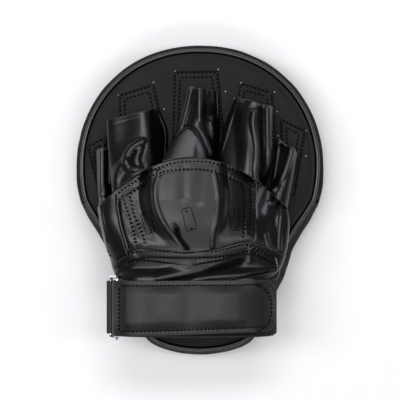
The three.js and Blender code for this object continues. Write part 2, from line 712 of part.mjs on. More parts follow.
function strapPath(s, y) {
  if (s < RETURN_PART) {
    const place = mix(STRAP_RETURN, STRAP_TURN, s / RETURN_PART);
    return offWrist(place, y, STRAP_RETURN_OFFSET);
  }
  if (s < TURN_PART) {
    const share = (s - RETURN_PART) / (TURN_PART - RETURN_PART);
    return wireTurn(wristFrame(STRAP_TURN, y), RING_OFFSET, STRAP_TURN_RADIUS, share, -1);
  }
  const place = mix(STRAP_TURN, STRAP_TIP, (s - TURN_PART) / (1 - TURN_PART));
  const lift = STRAP_LIFT * (1 - easeInOut((place - STRAP_TURN) / STRAP_LIFT_RUN));
  return offWrist(place, y, STRAP_OFFSET + lift);
}

// How far along its long run a place on the strap is, easing in and out
function strapRunShare(s) {
  return easeInOut((s - TURN_PART) / (1 - TURN_PART));
}

// The strap narrows and leans towards the fingers on its long run, and its end is rounded
function strapHalfWidth(s) {
  const start = 1 - STRAP_TIP_ROUND;
  const reach = Math.max(0, s - start) / STRAP_TIP_ROUND;
  const narrowed = mix(1, STRAP_TIP_WIDTH_SHARE, strapRunShare(s));
  const rounded = mix(TIP_BLUNT, 1, Math.sqrt(Math.max(0, 1 - reach * reach)));
  return (STRAP_WIDTH / 2) * narrowed * rounded;
}

function strapMiddle(s) {
  return STRAP_MIDDLE + STRAP_TIP_SHIFT * strapRunShare(s);
}

function strapOverGeometry() {
  const surface = (s, w) => {
    const half = strapHalfWidth(s);
    return strapPath(s, strapMiddle(s) + mix(half, -half, w));
  };
  const shares = [0, RETURN_PART];
  for (let i = 1; i <= TURN_STEPS; i += 1) {
    shares.push(mix(RETURN_PART, TURN_PART, i / TURN_STEPS));
  }
  for (let i = 1; i <= RUN_STEPS; i += 1) {
    shares.push(mix(TURN_PART, 1 - STRAP_TIP_ROUND, i / RUN_STEPS));
  }
  for (let i = 1; i <= TIP_STEPS; i += 1) {
    shares.push(mix(1 - STRAP_TIP_ROUND, 1, Math.sin((Math.PI / 2) * (i / TIP_STEPS))));
  }
  const half = STRAP_THICKNESS / 2;
  return wallOver(surface, shares, STRAP_ALONG_STEPS, -half, half, GLOVE_BASE);
}

function strapUnderGeometry() {
  const surface = (s, w) => {
    const place = mix(LOOP_START_STEP, LOOP_END_STEP, s) / CUFF_ACROSS;
    const flare = easeInOut((place - LOOP_FLARE.start) / (1 - LOOP_FLARE.start));
    const upper = STRAP_WIDTH * (0.5 + LOOP_FLARE.upper * flare);
    const lower = STRAP_WIDTH * (0.5 + LOOP_FLARE.lower * flare);
    return offWrist(place, STRAP_MIDDLE + mix(upper, -lower, w), LOOP_INNER);
  };
  const steps = LOOP_END_STEP - LOOP_START_STEP;
  return wallOver(surface, steps, STRAP_ALONG_STEPS, 0, LOOP_THICKNESS, GLOVE_BASE);
}

// Ring: a rounded rectangle of wire between the strap's turn and the tab's turn
const RING_CORNER_STEPS = 3;

function strapRingGeometry() {
  const strapBar = offWrist(STRAP_TURN, STRAP_MIDDLE, RING_OFFSET);
  const tabBar = offWrist(TAB_TURN, STRAP_MIDDLE, TAB_OFFSET + TAB_TURN_RADIUS);
  const half = STRAP_WIDTH / 2 + RING_SIDE_ROOM + RING_WIRE_RADIUS;
  const corner = RING_WIRE_RADIUS * 2;
  const depth = strapBar.distanceTo(tabBar);
  const down = tabBar.clone().sub(strapBar).normalize();
  const normal = down.clone().cross(new THREE.Vector3(0, 1, 0));
  const centres = [
    { drop: corner, side: half - corner },
    { drop: corner, side: corner - half },
    { drop: depth - corner, side: corner - half },
    { drop: depth - corner, side: half - corner },
  ];
  const path = [];
  centres.forEach((centre, quarter) => {
    for (let i = 0; i <= RING_CORNER_STEPS; i += 1) {
      const angle = (Math.PI / 2) * (quarter + i / RING_CORNER_STEPS);
      const point = strapBar.clone();
      point.addScaledVector(down, centre.drop - Math.sin(angle) * corner);
      point.y += centre.side + Math.cos(angle) * corner;
      path.push(point);
    }
  });
  return closedTube(path, normal, RING_WIRE_RADIUS, WIRE_SIDES);
}

// Tab: up from the glove's left foot, round the ring's lower wire, and back down
const TAB_RUN_STEPS = 3;
const TAB_RUN_PART = 0.35;

function tabPath(s, y) {
  if (s < TAB_RUN_PART) {
    return offWrist(mix(TAB_START, TAB_TURN, s / TAB_RUN_PART), y, TAB_OFFSET);
  }
  if (s < 1 - TAB_RUN_PART) {
    const share = (s - TAB_RUN_PART) / (1 - 2 * TAB_RUN_PART);
    return wireTurn(wristFrame(TAB_TURN, y), TAB_OFFSET + TAB_TURN_RADIUS, TAB_TURN_RADIUS, share, 1);
  }
  const back = (1 - s) / TAB_RUN_PART;
  const far = TAB_OFFSET + 2 * TAB_TURN_RADIUS;
  return offWrist(mix(TAB_START, TAB_TURN, back), y, mix(TAB_OUTER_OFFSET, far, easeInOut(back)));
}

function ringTabGeometry() {
  const half = (STRAP_WIDTH * TAB_WIDTH_SHARE) / 2;
  const surface = (s, w) => tabPath(1 - s, STRAP_MIDDLE + mix(half, -half, w));
  const shares = [];
  for (let i = 0; i <= TAB_RUN_STEPS; i += 1) {
    shares.push((TAB_RUN_PART * i) / TAB_RUN_STEPS);
  }
  for (let i = 1; i < TURN_STEPS; i += 1) {
    shares.push(mix(TAB_RUN_PART, 1 - TAB_RUN_PART, i / TURN_STEPS));
  }
  for (let i = TAB_RUN_STEPS; i >= 0; i -= 1) {
    shares.push(1 - (TAB_RUN_PART * i) / TAB_RUN_STEPS);
  }
  const thick = TAB_THICKNESS / 2;
  return wallOver(surface, shares, STRAP_ALONG_STEPS, -thick, thick, GLOVE_BASE);
}

const pieces = new THREE.Group();

function addPiece(name, geometry, look) {
  geometry.deleteAttribute('normal');
  geometry.deleteAttribute('uv');
  const merged = mergeVertices(geometry, MERGE_DISTANCE);
  merged.computeVertexNormals();
  const material = new THREE.MeshStandardMaterial(look);
  const mesh = new THREE.Mesh(merged, material);
  mesh.name = name;
  pieces.add(mesh);
}

const PAD_LOOK = { color: 0x141416, roughness: 0.55, metalness: 0 };
const GLOVE_LOOK = { color: 0x1a1a1c, roughness: 0.35, metalness: 0 };
const STRAP_LOOK = { color: 0x262428, roughness: 0.45, metalness: 0 };
const LOOP_LOOK = { color: 0x0c0c0d, roughness: 0.95, metalness: 0 };
const FOAM_LOOK = { color: 0x2b2b2d, roughness: 0.9, metalness: 0 };
const METAL_LOOK = { color: 0xc9ccd0, roughness: 0.25, metalness: 1 };

addPiece('foam_core', foamCoreGeometry(), FOAM_LOOK);
addPiece('strike_panel', strikePanelGeometry(), PAD_LOOK);
addPiece('side_band_upper', sideBandGeometry(BAND_SEAM, OUTLINE_STEPS - BAND_SEAM), PAD_LOOK);
addPiece('side_band_lower', sideBandGeometry(-BAND_SEAM, BAND_SEAM), PAD_LOOK);
addPiece('back_panel', backPanelGeometry(), PAD_LOOK);
addPiece('back_welt', backWeltGeometry(), PAD_LOOK);
PATCH_ROWS.forEach((row) => addPiece(row.name, patchGeometry(row), PAD_LOOK));
STALLS.forEach((stall) => addPiece(stall.name, stallGeometry(stall), GLOVE_LOOK));
addPiece('hand_back', handBackGeometry(), GLOVE_LOOK);
addPiece('gusset_left', gussetGeometry(0, LEFT_SEAM - SEAM_SHARE), GLOVE_LOOK);
addPiece('gusset_right', gussetGeometry(RIGHT_SEAM + SEAM_SHARE, 1), GLOVE_LOOK);
addPiece('wrist_cuff', wristCuffGeometry(), GLOVE_LOOK);
addPiece('strap_under', strapUnderGeometry(), LOOP_LOOK);
addPiece('strap_over', strapOverGeometry(), STRAP_LOOK);
addPiece('strap_ring', strapRingGeometry(), METAL_LOOK);
addPiece('ring_tab', ringTabGeometry(), STRAP_LOOK);

export default pieces;
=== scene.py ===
# Focus mitt lying on its strike face: leather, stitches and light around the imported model.
import math

import bpy
import numpy as np
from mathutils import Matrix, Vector, noise
from mathutils.bvhtree import BVHTree


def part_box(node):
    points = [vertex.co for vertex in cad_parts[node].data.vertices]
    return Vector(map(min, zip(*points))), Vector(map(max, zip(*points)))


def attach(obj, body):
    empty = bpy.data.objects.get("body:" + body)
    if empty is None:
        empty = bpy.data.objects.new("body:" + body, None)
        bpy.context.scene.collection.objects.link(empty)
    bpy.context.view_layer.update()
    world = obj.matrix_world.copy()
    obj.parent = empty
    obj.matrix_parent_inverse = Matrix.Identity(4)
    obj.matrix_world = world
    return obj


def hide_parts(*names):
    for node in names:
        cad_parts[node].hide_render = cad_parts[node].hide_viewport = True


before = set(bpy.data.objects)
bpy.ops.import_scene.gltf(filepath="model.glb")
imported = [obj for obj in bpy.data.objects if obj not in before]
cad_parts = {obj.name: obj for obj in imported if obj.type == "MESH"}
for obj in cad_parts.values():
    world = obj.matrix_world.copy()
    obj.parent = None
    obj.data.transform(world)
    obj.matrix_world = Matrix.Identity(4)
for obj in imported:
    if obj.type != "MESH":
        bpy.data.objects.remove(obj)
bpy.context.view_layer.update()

MM = 0.001

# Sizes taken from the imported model
HALF_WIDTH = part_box("strike_panel")[1].x
HALF_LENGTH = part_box("strike_panel")[1].y
PAD_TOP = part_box("back_panel")[1].z
STRIKE_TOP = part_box("strike_panel")[1].z
BAND_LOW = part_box("side_band_lower")[0].z
BAND_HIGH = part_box("side_band_lower")[1].z
PATCH_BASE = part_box("patch_index")[0].z
PATCH_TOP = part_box("patch_index")[1].z
STALL_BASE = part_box("stall_index")[0].z
GLOVE_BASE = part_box("wrist_cuff")[0].z

# Sizes that repeat the model's
GLOVE_LEATHER = 1.6 * MM
PANEL_LEATHER = 1.6 * MM
GLOVE_RISE = 45 * MM
PAD_THICKNESS = PAD_TOP
STRIKE_RIM_RADIUS = 10 * MM
WELT_RADIUS = 1.5 * MM
SEAM_GAP = 0.3 * MM
STALL_SEAM_LINE = 0.4 * MM
STRAP_GAP = 0.7 * MM
STRAP_WIDTH = 43 * MM
STRAP_THICKNESS = 2 * MM
LOOP_THICKNESS = 1.4 * MM
TAB_THICKNESS = 1.4 * MM
RING_WIRE_RADIUS = 1.6 * MM

# The photograph looks straight down. Its scale holds at one level of the pad.
PHOTO_SIZE = 400
PHOTO_MIDDLE = 199.5
PHOTO_PAD_PIXELS = 307
VIEW_LEVEL = 0.012
VIEW_DISTANCE = 1.5
SENSOR_WIDTH = 36
PIXEL = 2 * HALF_LENGTH / PHOTO_PAD_PIXELS
CAMERA_HEIGHT = VIEW_LEVEL + VIEW_DISTANCE


def at_pixel(px, py, height):
    """The point at a height that the photograph shows at a pixel."""
    scale = PIXEL * (CAMERA_HEIGHT - height) / VIEW_DISTANCE
    return Vector(((px - PHOTO_MIDDLE) * scale, (PHOTO_MIDDLE - py) * scale, height))


def pixels_of(points):
    """The photograph's pixels at which it shows a grid of points."""
    x, y, z = (points[:, :, axis] for axis in range(3))
    scale = PIXEL * (CAMERA_HEIGHT - z) / VIEW_DISTANCE
    return PHOTO_MIDDLE + x / scale, PHOTO_MIDDLE - y / scale


# Camera
camera_data = bpy.data.cameras.new("camera")
camera = bpy.data.objects.new("camera", camera_data)
bpy.context.scene.collection.objects.link(camera)
camera.location = (0, 0, CAMERA_HEIGHT)
camera_data.sensor_width = SENSOR_WIDTH
camera_data.lens = SENSOR_WIDTH * VIEW_DISTANCE / (PHOTO_SIZE * PIXEL)
camera_data.clip_end = 20
bpy.context.scene.camera = camera


# Numbers between rows of a table
def mix(a, b, share):
    return a + (b - a) * share


def clamp01(value):
    return min(1.0, max(0.0, value))


def ease(value):
    t = clamp01(value)
    return t * t * (3 - 2 * t)


def gentle_slope(before, after):
    product = before * after
    return 2 * product / (before + after) if product > 0 else 0.0


def smooth(values, place):
    """A smooth curve through evenly spaced values, without overshoot."""
    last = len(values) - 1
    index = min(last - 1, max(0, math.floor(place)))
    t = place - index
    here, after = values[index], values[index + 1]
    step = after - here
    slope_here = gentle_slope(here - values[index - 1], step) if index > 0 else step
    slope_after = gentle_slope(step, values[index + 2] - after) if index + 2 <= last else step
    t2 = t * t
    t3 = t2 * t
    return (
        (2 * t3 - 3 * t2 + 1) * here
        + (t3 - 2 * t2 + t) * slope_here
        + (3 * t2 - 2 * t3) * after
        + (t3 - t2) * slope_after
    )


def row_place(rows, column, value):
    rising = rows[-1][column] > rows[0][column]
    for i in range(len(rows) - 1):
        a, b = rows[i][column], rows[i + 1][column]
        if (value <= b) if rising else (value >= b):
            return i + clamp01((value - a) / (b - a))
    return len(rows) - 1


def row_value(rows, column, place):
    return smooth([row[column] for row in rows], place)


def rows_of(columns, rows):
    """A table's rows, with the names of its columns."""
    return [dict(zip(columns, row)) for row in rows]


# Tables that repeat the model's: shares of the half width and half length
ROUND = dict(centre=0.2, radius=0.8, power=2.1, low=-0.02)
LOWER_END = dict(start=-0.864, half=0.45, power=1.9)
TAPER_ROWS = rows_of(("along", "half"), [
    (-0.02, 0.968), (-0.134, 0.89), (-0.25, 0.8), (-0.33, 0.745), (-0.45, 0.7), (-0.66, 0.573),
    (-0.864, 0.45),
])
RIM_ROWS = rows_of(("along", "left", "right"), [
    (-1, 0.1, 0.1), (-0.6, 0.1, 0.11), (-0.3, 0.125, 0.16), (0, 0.11, 0.12), (0.3, 0.1, 0.1),
    (1, 0.1, 0.1),
])
BAND_SEAM_ALONG = -0.045

PATCHES = {
    "patch_thumb": [(-0.805, -0.003), (-0.728, -0.003), (-0.744, 0.409), (-0.9, 0.34)],
    "patch_index": [(-0.64, 0.315), (-0.247, 0.315), (-0.366, 0.741), (-0.648, 0.668)],
    "patch_middle": [(-0.222, 0.335), (0.2, 0.36), (0.146, 0.824), (-0.207, 0.818)],
    "patch_ring": [(0.23, 0.36), (0.61, 0.31), (0.581, 0.687), (0.318, 0.749)],
    "patch_little": [(0.648, 0.029), (0.757, 0.029), (0.843, 0.442), (0.64, 0.519)],
}

STATIONS = ("left", "left_top", "crest", "right_top", "right")


def stall_table(tip_left, tip_right, shoulders, rows):
    named = rows_of(("share", *STATIONS, "rise"), rows)
    return dict(tip_left=tip_left, tip_right=tip_right, shoulders=shoulders, rows=named)


STALLS = {
    "stall_thumb": stall_table(0.31, 0.33, (0.62, 0.62), [
        (0, -0.82, -0.806, -0.765, -0.722, -0.7, 0.34),
        (0.5, -0.81, -0.8, -0.762, -0.722, -0.7, 0.35),
        (1, -0.79, -0.785, -0.755, -0.722, -0.7, 0.36),
    ]),
    "stall_index": stall_table(0.52, 0.574, (0.68, 0.72), [
        (0, -0.617, -0.716, -0.46, -0.37, -0.338, 0.62),
        (0.5, -0.62, -0.7, -0.455, -0.312, -0.27, 0.72),
        (1, -0.64, -0.67, -0.48, -0.33, -0.275, 0.8),
    ]),
    "stall_middle": stall_table(0.7, 0.69, (0.93, 0.72), [
        (0, -0.09, -0.08, 0, 0.106, 0.137, 0.62),
        (0.26, -0.118, -0.113, -0.01, 0.108, 0.141, 0.68),
        (0.5, -0.15, -0.15, -0.025, 0.11, 0.145, 0.73),
        (0.75, -0.19, -0.205, -0.045, 0.09, 0.14, 0.8),
        (1, -0.235, -0.28, -0.07, 0.06, 0.13, 0.86),
    ]),
    "stall_ring": stall_table(0.637, 0.58, (0.72, 0.8), [
        (0, 0.31, 0.292, 0.435, 0.555, 0.565, 0.62),
        (0.5, 0.235, 0.2, 0.4, 0.552, 0.565, 0.74),
        (1, 0.175, 0.158, 0.317, 0.458, 0.505, 0.82),
    ]),
    "stall_little": stall_table(0.366, 0.297, (0.68, 0.68), [
        (0, 0.655, 0.625, 0.69, 0.752, 0.757, 0.5),
        (0.5, 0.62, 0.595, 0.65, 0.715, 0.72, 0.54),
        (1, 0.56, 0.56, 0.615, 0.675, 0.68, 0.52),
    ]),
}

HAND_COLUMNS = ("foot_l", "side_l", "seam_l", "crown", "seam_r", "side_r", "foot_r")
HAND_ROWS = rows_of(("along", *HAND_COLUMNS, "rise", "side", "seam"), [
    (0.26, -0.8, -0.79, -0.66, -0.08, 0.42, 0.66, 0.7, 0.86, 0.4, 0.8),
    (0, -0.795, -0.795, -0.655, -0.07, 0.43, 0.675, 0.7, 0.92, 0.42, 0.82),
    (-0.14, -0.765, -0.77, -0.63, -0.06, 0.43, 0.69, 0.68, 0.95, 0.5, 0.84),
    (-0.28, -0.7, -0.73, -0.58, -0.04, 0.4, 0.675, 0.65, 0.92, 0.5, 0.84),
    (-0.42, -0.62, -0.67, -0.52, -0.03, 0.38, 0.62, 0.585, 0.84, 0.5, 0.86),
    (-0.49, -0.575, -0.645, -0.46, -0.05, 0.38, 0.565, 0.535, 0.93, 0.5, 0.94),
    (-0.66, -0.475, -0.645, -0.46, -0.05, 0.38, 0.565, 0.439, 0.93, 0.5, 0.94),
    (-0.85, -0.363, -0.645, -0.46, -0.05, 0.38, 0.565, 0.332, 0.93, 0.5, 0.94),
])
KNUCKLE = dict(centre=-0.06, half=0.78, low=-0.09, bow=0.35, power=2)
WRIST_SEAM_ROWS = rows_of(("across", "along"), [
    (-0.72, -0.42), (-0.6, -0.36), (-0.467, -0.3), (-0.3, -0.312), (-0.12, -0.328), (0.1, -0.305),
    (0.38, -0.258), (0.5, -0.285), (0.6, -0.325), (0.7, -0.355),
])
HAND_SPANS = 6
WRIST_END = -0.85
LEFT_SEAM = 2 / HAND_SPANS
RIGHT_SEAM = 4 / HAND_SPANS


# Folds, steps and raised areas, placed on the leather by photograph pixels. Widths and reaches are in
# pixels, heights in millimetres, positive where the leather stands up. A fold follows a run, a step
# falls or rises on one side of a run (side 1 is to the right of a run drawn downwards) and fades over
# its reach, and an area lifts what lies inside an outline.
def fold(width, height, *run):
    return dict(fold=run, width=width, height=height)


def step(side, width, height, reach, *run, **more):
    return dict(step=run, side=side, width=width, height=height, reach=reach, **more)


# Stitch rows of the hand back and of the cuff, in pixels
HAND_ROW_RUNS = [
    [(115, 197), (121, 190.5), (129.5, 184.5), (136, 180), (143, 173), (150, 169.5), (160.8, 166.7),
     (170, 163.5), (180, 161.5), (190, 161), (206, 161.3), (222, 165), (238, 172), (248, 178.5),
     (253, 182.5)],
    [(129.2, 194), (135.8, 189.2), (142, 183), (150, 176.5), (160.8, 172), (170, 170), (180, 169),
     (195, 168.7), (208, 169.7), (222, 173.8), (234, 179.5), (243, 185)],
    [(121.5, 194), (123.5, 200), (130, 220), (135, 241), (135.6, 245)],
    [(129.2, 195), (130.5, 200), (134, 215), (140, 229), (145, 243)],
    [(243, 186), (244, 205), (243, 238)],
    [(249.5, 182.5), (250.3, 205), (248.5, 235)],
]
CUFF_ROW_RUNS = [
    [(115, 259), (130, 253), (145, 250.3), (170, 251.8), (200, 251.5), (220, 249.5), (245, 244.5),
     (257, 250), (272, 257)],
    [(115, 267), (135, 260), (150, 257), (176, 258), (200, 257.5), (220, 256.5), (235, 254),
     (249, 251), (262, 257.5), (274, 264)],
]
# Pinned features fade towards the seam at the wrist
WRIST_RUN = [(100, 262), (113, 257), (125, 249), (140, 246), (156, 247), (185, 249), (215, 246.5),
             (235, 242), (247, 239.5), (257, 245), (275, 253), (290, 260)]
WRIST_FADE = 32
# The leather falls away on both sides of the middle of the hand
HAND_VALLEYS = [
    step(-1, 15, -7, 44, (158, 150), (153, 185), (153, 200), (156.5, 213), (163.5, 227), (173.5, 239),
         (183, 256), pinned=True),
    step(1, 9, -4.5, 60, (216.5, 150), (218, 177), (220, 198), (217.5, 220), (214.5, 235),
         (213.8, 256), pinned=True),
    step(1, 36, -8.5, 30, (224, 150), (225, 198), (222, 220), (220, 256), pinned=True),
]
PEAK = [(184.5, 127), (188, 126), (193, 129), (199, 137), (204, 149), (208, 166), (150, 170), (160, 158),
        (167, 148), (174, 138), (180, 130)]
FEATURES = {
    "patch_thumb": [
        fold(1.1, 0.45, (87, 159), (88.5, 169), (91.5, 180)),
        fold(1.1, 0.45, (92.5, 157), (94.5, 168), (98, 179)),
    ],
    "patch_little": [
        fold(1.1, 0.5, (303.5, 156), (302, 170), (299.3, 190)),
        fold(1.1, 0.4, (297.5, 160), (296.5, 175), (294.5, 188)),
    ],
    "stall_thumb": [
        fold(1.7, -7, (107, 151), (107, 184)),
        fold(1.0, 1.2, (101.5, 150), (101.5, 180), (101.2, 194), (103, 198.5), (106, 200.4),
             (109, 199.6)),
        fold(0.9, 0.6, (100, 150.4), (105, 148.4), (108, 148.4)),
    ],
    "stall_index": [
        step(1, 12, -13, 60, (147, 104), (147, 130), (148.5, 150), (153, 170)),
        fold(9, -1, (126, 116), (124, 140)),
        fold(1.1, 0.7, (107.2, 117), (108.8, 147), (109.7, 163), (112.3, 180), (113.5, 190)),
        fold(0.9, 0.35, (106.5, 117.6), (121, 115.1), (133, 112.9), (147, 110)),
        fold(2.4, 1.6, (142, 141), (135.5, 144), (129, 149.5), (125.6, 157), (126.4, 164), (130.5, 169),
             (136, 168.5)),
        fold(1.7, -2.8, (135.2, 151), (131.8, 157), (132, 162.5), (135.5, 166.6)),
        fold(2, -1.8, (143, 146), (140.5, 153), (139.6, 160), (142, 166)),
        fold(4.6, 2, (124, 162), (119, 169), (115.8, 177), (114.5, 187)),
    ],
    "stall_middle": [
        fold(1.1, 0.7, (191, 88.5), (187.3, 104), (183.6, 118), (181, 128)),
        fold(1.1, 1.1, (199, 86), (199, 104), (198.7, 120)),
        fold(0.9, 0.5, (190, 89), (194, 87.6), (200, 87.3)),
        fold(3.2, -2.2, (195, 88), (193.3, 106), (190, 122)),
        step(1, 5, -13, 200, (200, 82), (200.3, 112), (202, 128), (206.5, 142), (211, 160)),
        fold(5, 5.5, (211.5, 122), (213, 134), (214, 150)),
        dict(area=PEAK, width=2.5, height=1.6),
        step(1, 14, 6.5, 200, (194, 122), (195, 150), (196, 176), inside=PEAK),
        fold(1.3, -2.4, (183, 128.4), (186.5, 124.6), (190, 125), (195, 128), (200, 135.5),
             (205, 146.5), (209.5, 158)),
    ],
    "stall_ring": [
        fold(1.0, 0.7, (239, 98), (231, 120), (225.2, 140), (220.5, 156)),
        step(-1, 16, -6, 60, (250, 104), (248, 125), (250, 145), (251, 175)),
        fold(2.2, 2.6, (253.5, 112), (252.5, 123), (255, 138), (256, 150), (254.5, 170), (256, 188)),
        fold(2.8, -4.2, (260, 109), (260.5, 140), (261.6, 165), (261, 185)),
        fold(1.9, 2.4, (267, 109), (267.5, 130), (268, 150), (267, 170), (264, 185)),
    ],
    "stall_little": [
        fold(5, -10, (284, 146), (280, 165), (275, 182)),
        fold(1.7, 1.6, (278, 142), (274.3, 150), (273.3, 160)),
        fold(1.5, 2.2, (291, 150), (288.5, 160), (283, 175), (278, 185), (274, 190)),
    ],
    "hand_back": HAND_VALLEYS + [
        fold(1.8, 0.9, (159, 172), (155.5, 185), (155.5, 200), (159, 213), (166, 227), (176, 239),
             (184, 247)),
        fold(1.8, 0.9, (214, 172), (217.5, 198), (215.2, 220), (212.3, 235), (211.5, 246)),
        fold(2.1, -3.6, (176, 229), (178, 237), (183, 244), (186, 248)),
        fold(1.4, -1, (174.5, 224), (176, 229)),
        fold(5, -0.5, (183, 168), (183.5, 196)),
        fold(5, -0.5, (201, 172), (199, 200)),
        fold(1.1, 0.9, (114, 196), (115.8, 215), (119.6, 233), (125.5, 247)),
        fold(1.7, -2.6, (118, 200), (120.5, 220), (124.5, 237), (128, 246)),
    ],
    "gusset_left": HAND_VALLEYS + [
        fold(1.1, 1.1, (101, 205), (104.5, 225), (107.5, 241)),
    ],
    "gusset_right": HAND_VALLEYS + [
        step(1, 13, -6, 60, (268, 180), (266.5, 205), (262, 225), (260, 256), pinned=True),
        fold(1.6, -3, (266.5, 184), (264.5, 195), (258.5, 210), (253.8, 229), (252, 238)),
        fold(2.4, 1.5, (263, 188), (258.5, 202), (253, 222), (249, 236)),
        fold(1.3, 1, (265, 234), (268, 245), (275, 250.5)),
        fold(1.3, 1.6, (269, 202.5), (273.5, 203), (276.5, 197), (276, 190)),
        fold(1.2, 1, (284.5, 187), (281.5, 205), (279.6, 230), (278.5, 248)),
    ],
    "wrist_cuff": [
        fold(2.8, -3.6, (160, 284), (176, 279.5), (200, 274), (215, 269.3), (240, 261.5)),
        fold(1.8, -2, (195, 282), (235, 277.5), (272, 270.5)),
        fold(5, 1.2, (160, 277), (172, 270), (190, 266)),
        fold(2, 0.6, (249, 250), (249.3, 260)),
        fold(2.2, 0.8, (130, 259), (135, 256)),
    ],
}


def outline_half(along):
    if along > ROUND["low"]:
        reach = abs(along - ROUND["centre"]) / ROUND["radius"]
        return max(0.0, 1 - reach ** ROUND["power"]) ** (1 / ROUND["power"])
    if along > LOWER_END["start"]:
        return row_value(TAPER_ROWS, "half", row_place(TAPER_ROWS, "along", along))
    reach = (LOWER_END["start"] - along) / (LOWER_END["start"] + 1)
    width = max(0.0, 1 - reach ** LOWER_END["power"]) ** (1 / LOWER_END["power"])
    return LOWER_END["half"] * width


OUTLINE_STEPS = 288
OUTLINE_SAMPLES = 3000


def make_outline(count):
    """Evenly spaced outline points with outward directions, from the lower end round the right side."""
    side = []
    for i in range(OUTLINE_SAMPLES + 1):
        along = -math.cos(math.pi * i / OUTLINE_SAMPLES)
        side.append(Vector((outline_half(along) * HALF_WIDTH, along * HALF_LENGTH)))
    loop = side + [Vector((-p.x, p.y)) for p in reversed(side[1:-1])]
    loop.append(loop[0].copy())
    lengths = [0.0]
    for a, b in zip(loop, loop[1:]):
        lengths.append(lengths[-1] + (b - a).length)
    points = []
    index = 0
    for i in range(count):
        target = lengths[-1] * i / count
        while lengths[index + 1] < target:
            index += 1
        share = (target - lengths[index]) / (lengths[index + 1] - lengths[index])
        points.append(loop[index].lerp(loop[index + 1], share))
    spots = []
    for i, point in enumerate(points):
        run = (points[(i + 1) % count] - points[i - 1]).normalized()
        spots.append((point, Vector((run.y, -run.x))))
    return spots


OUTLINE = make_outline(OUTLINE_STEPS)
OUTLINE_LENGTH = sum((OUTLINE[i][0] - OUTLINE[i - 1][0]).length for i in range(OUTLINE_STEPS))


def back_inset(point):
    place = row_place(RIM_ROWS, "along", point.y / HALF_LENGTH)
    left = row_value(RIM_ROWS, "left", place)
    right = row_value(RIM_ROWS, "right", place)
    return mix(left, right, ease(0.5 + point.x / (2 * HALF_WIDTH))) * PAD_THICKNESS


def inset_point(spot, inset, height):
    point, out = spot
    return Vector((point.x - out.x * inset, point.y - out.y * inset, height))


# Mesh makers
def new_object(name, points, faces):
    mesh = bpy.data.meshes.new(name)
    mesh.from_pydata([tuple(p) for p in points], [], faces)
    mesh.update()
    for polygon in mesh.polygons:
        polygon.use_smooth = True
    obj = bpy.data.objects.new(name, mesh)
    bpy.context.scene.collection.objects.link(obj)
    return obj


def thicken(obj, thickness, outward):
    """Gives a sheet its thickness, on its outer side, its inner side or both."""
    solid = obj.modifiers.new("solid", "SOLIDIFY")
    solid.thickness = thickness
    solid.offset = outward
    bpy.context.view_layer.update()
    depsgraph = bpy.context.evaluated_depsgraph_get()
    mesh = bpy.data.meshes.new_from_object(obj.evaluated_get(depsgraph))
    obj.modifiers.clear()
    old = obj.data
    obj.data = mesh
    bpy.data.meshes.remove(old)
    for polygon in obj.data.polygons:
        polygon.use_smooth = True


def surface_tree(*objects):
    points = []
    faces = []
    for obj in objects:
        start = len(points)
        points.extend(obj.matrix_world @ v.co for v in obj.data.vertices)
        faces.extend([start + v for v in p.vertices] for p in obj.data.polygons)
    return BVHTree.FromPolygons(points, faces)


def seen_at(tree, px, py):
    """Where the camera's ray through a pixel meets a surface, with the surface's direction."""
    start = Vector((0, 0, CAMERA_HEIGHT))
    ray = (at_pixel(px, py, 0.0) - start).normalized()
    place, normal, _, _ = tree.ray_cast(start, ray)
    if place is None:
        return None
    if normal.z < 0:
        normal = -normal
    return place, normal


def run_reach(run, px, py):
    """Distance of pixels from a run, the side of it they lie on, and how far along it they are."""
    best = np.full(px.shape, 1e9)
    side = np.zeros(px.shape)
    along = np.zeros(px.shape)
    passed = 0.0
    for (ax, ay), (bx, by) in zip(run, run[1:]):
        dx, dy = bx - ax, by - ay
        length = math.hypot(dx, dy)
        share = np.clip(((px - ax) * dx + (py - ay) * dy) / (length * length), 0, 1)
        reach = np.hypot(px - ax - dx * share, py - ay - dy * share)
        nearer = reach < best
        best = np.where(nearer, reach, best)
        side = np.where(nearer, np.sign(dy * (px - ax) - dx * (py - ay)), side)
        along = np.where(nearer, passed + share * length, along)
        passed += length
    return best, side, along


CURVE_STEP = 1.5


def curved(run):
    """A smooth curve through the places of a run."""
    if len(run) < 3:
        return run
    spots = []
    for k in range(len(run) - 1):
        before = run[max(0, k - 1)]
        a, b = run[k], run[k + 1]
        after = run[min(len(run) - 1, k + 2)]
        steps = max(1, round(math.hypot(b[0] - a[0], b[1] - a[1]) / CURVE_STEP))
        for i in range(steps):
            t = i / steps
            spot = []
            for p0, p1, p2, p3 in zip(before, a, b, after):
                bend = 2 * p0 - 5 * p1 + 4 * p2 - p3
                twist = 3 * (p1 - p2) + p3 - p0
                spot.append(p1 + 0.5 * t * (p2 - p0 + t * (bend + t * twist)))
            spots.append(tuple(spot))
    return spots + [run[-1]]


def run_length(run):
    return sum(math.hypot(bx - ax, by - ay) for (ax, ay), (bx, by) in zip(run, run[1:]))


def run_spot(run, distance):
    """The pixel at a distance along a run."""
    for (ax, ay), (bx, by) in zip(run, run[1:]):
        length = math.hypot(bx - ax, by - ay)
        if distance <= length:
            share = distance / length
            return mix(ax, bx, share), mix(ay, by, share)
        distance -= length
    return run[-1]


def inside_reach(outline, px, py):
    """Distance inside a closed outline, negative outside it."""
    closed = outline + [outline[0]]
    reach, _side, _along = run_reach(closed, px, py)
    inside = np.zeros(px.shape, dtype=bool)
    for (ax, ay), (bx, by) in zip(closed, closed[1:]):
        if ay == by:
            continue
        crossing = (ay > py) != (by > py)
        inside ^= crossing & (px < (bx - ax) * (py - ay) / (by - ay) + ax)
    return np.where(inside, reach, -reach)


def ease_all(values):
    t = np.clip(values, 0, 1)
    return t * t * (3 - 2 * t)


INSIDE_FADE = 2.5


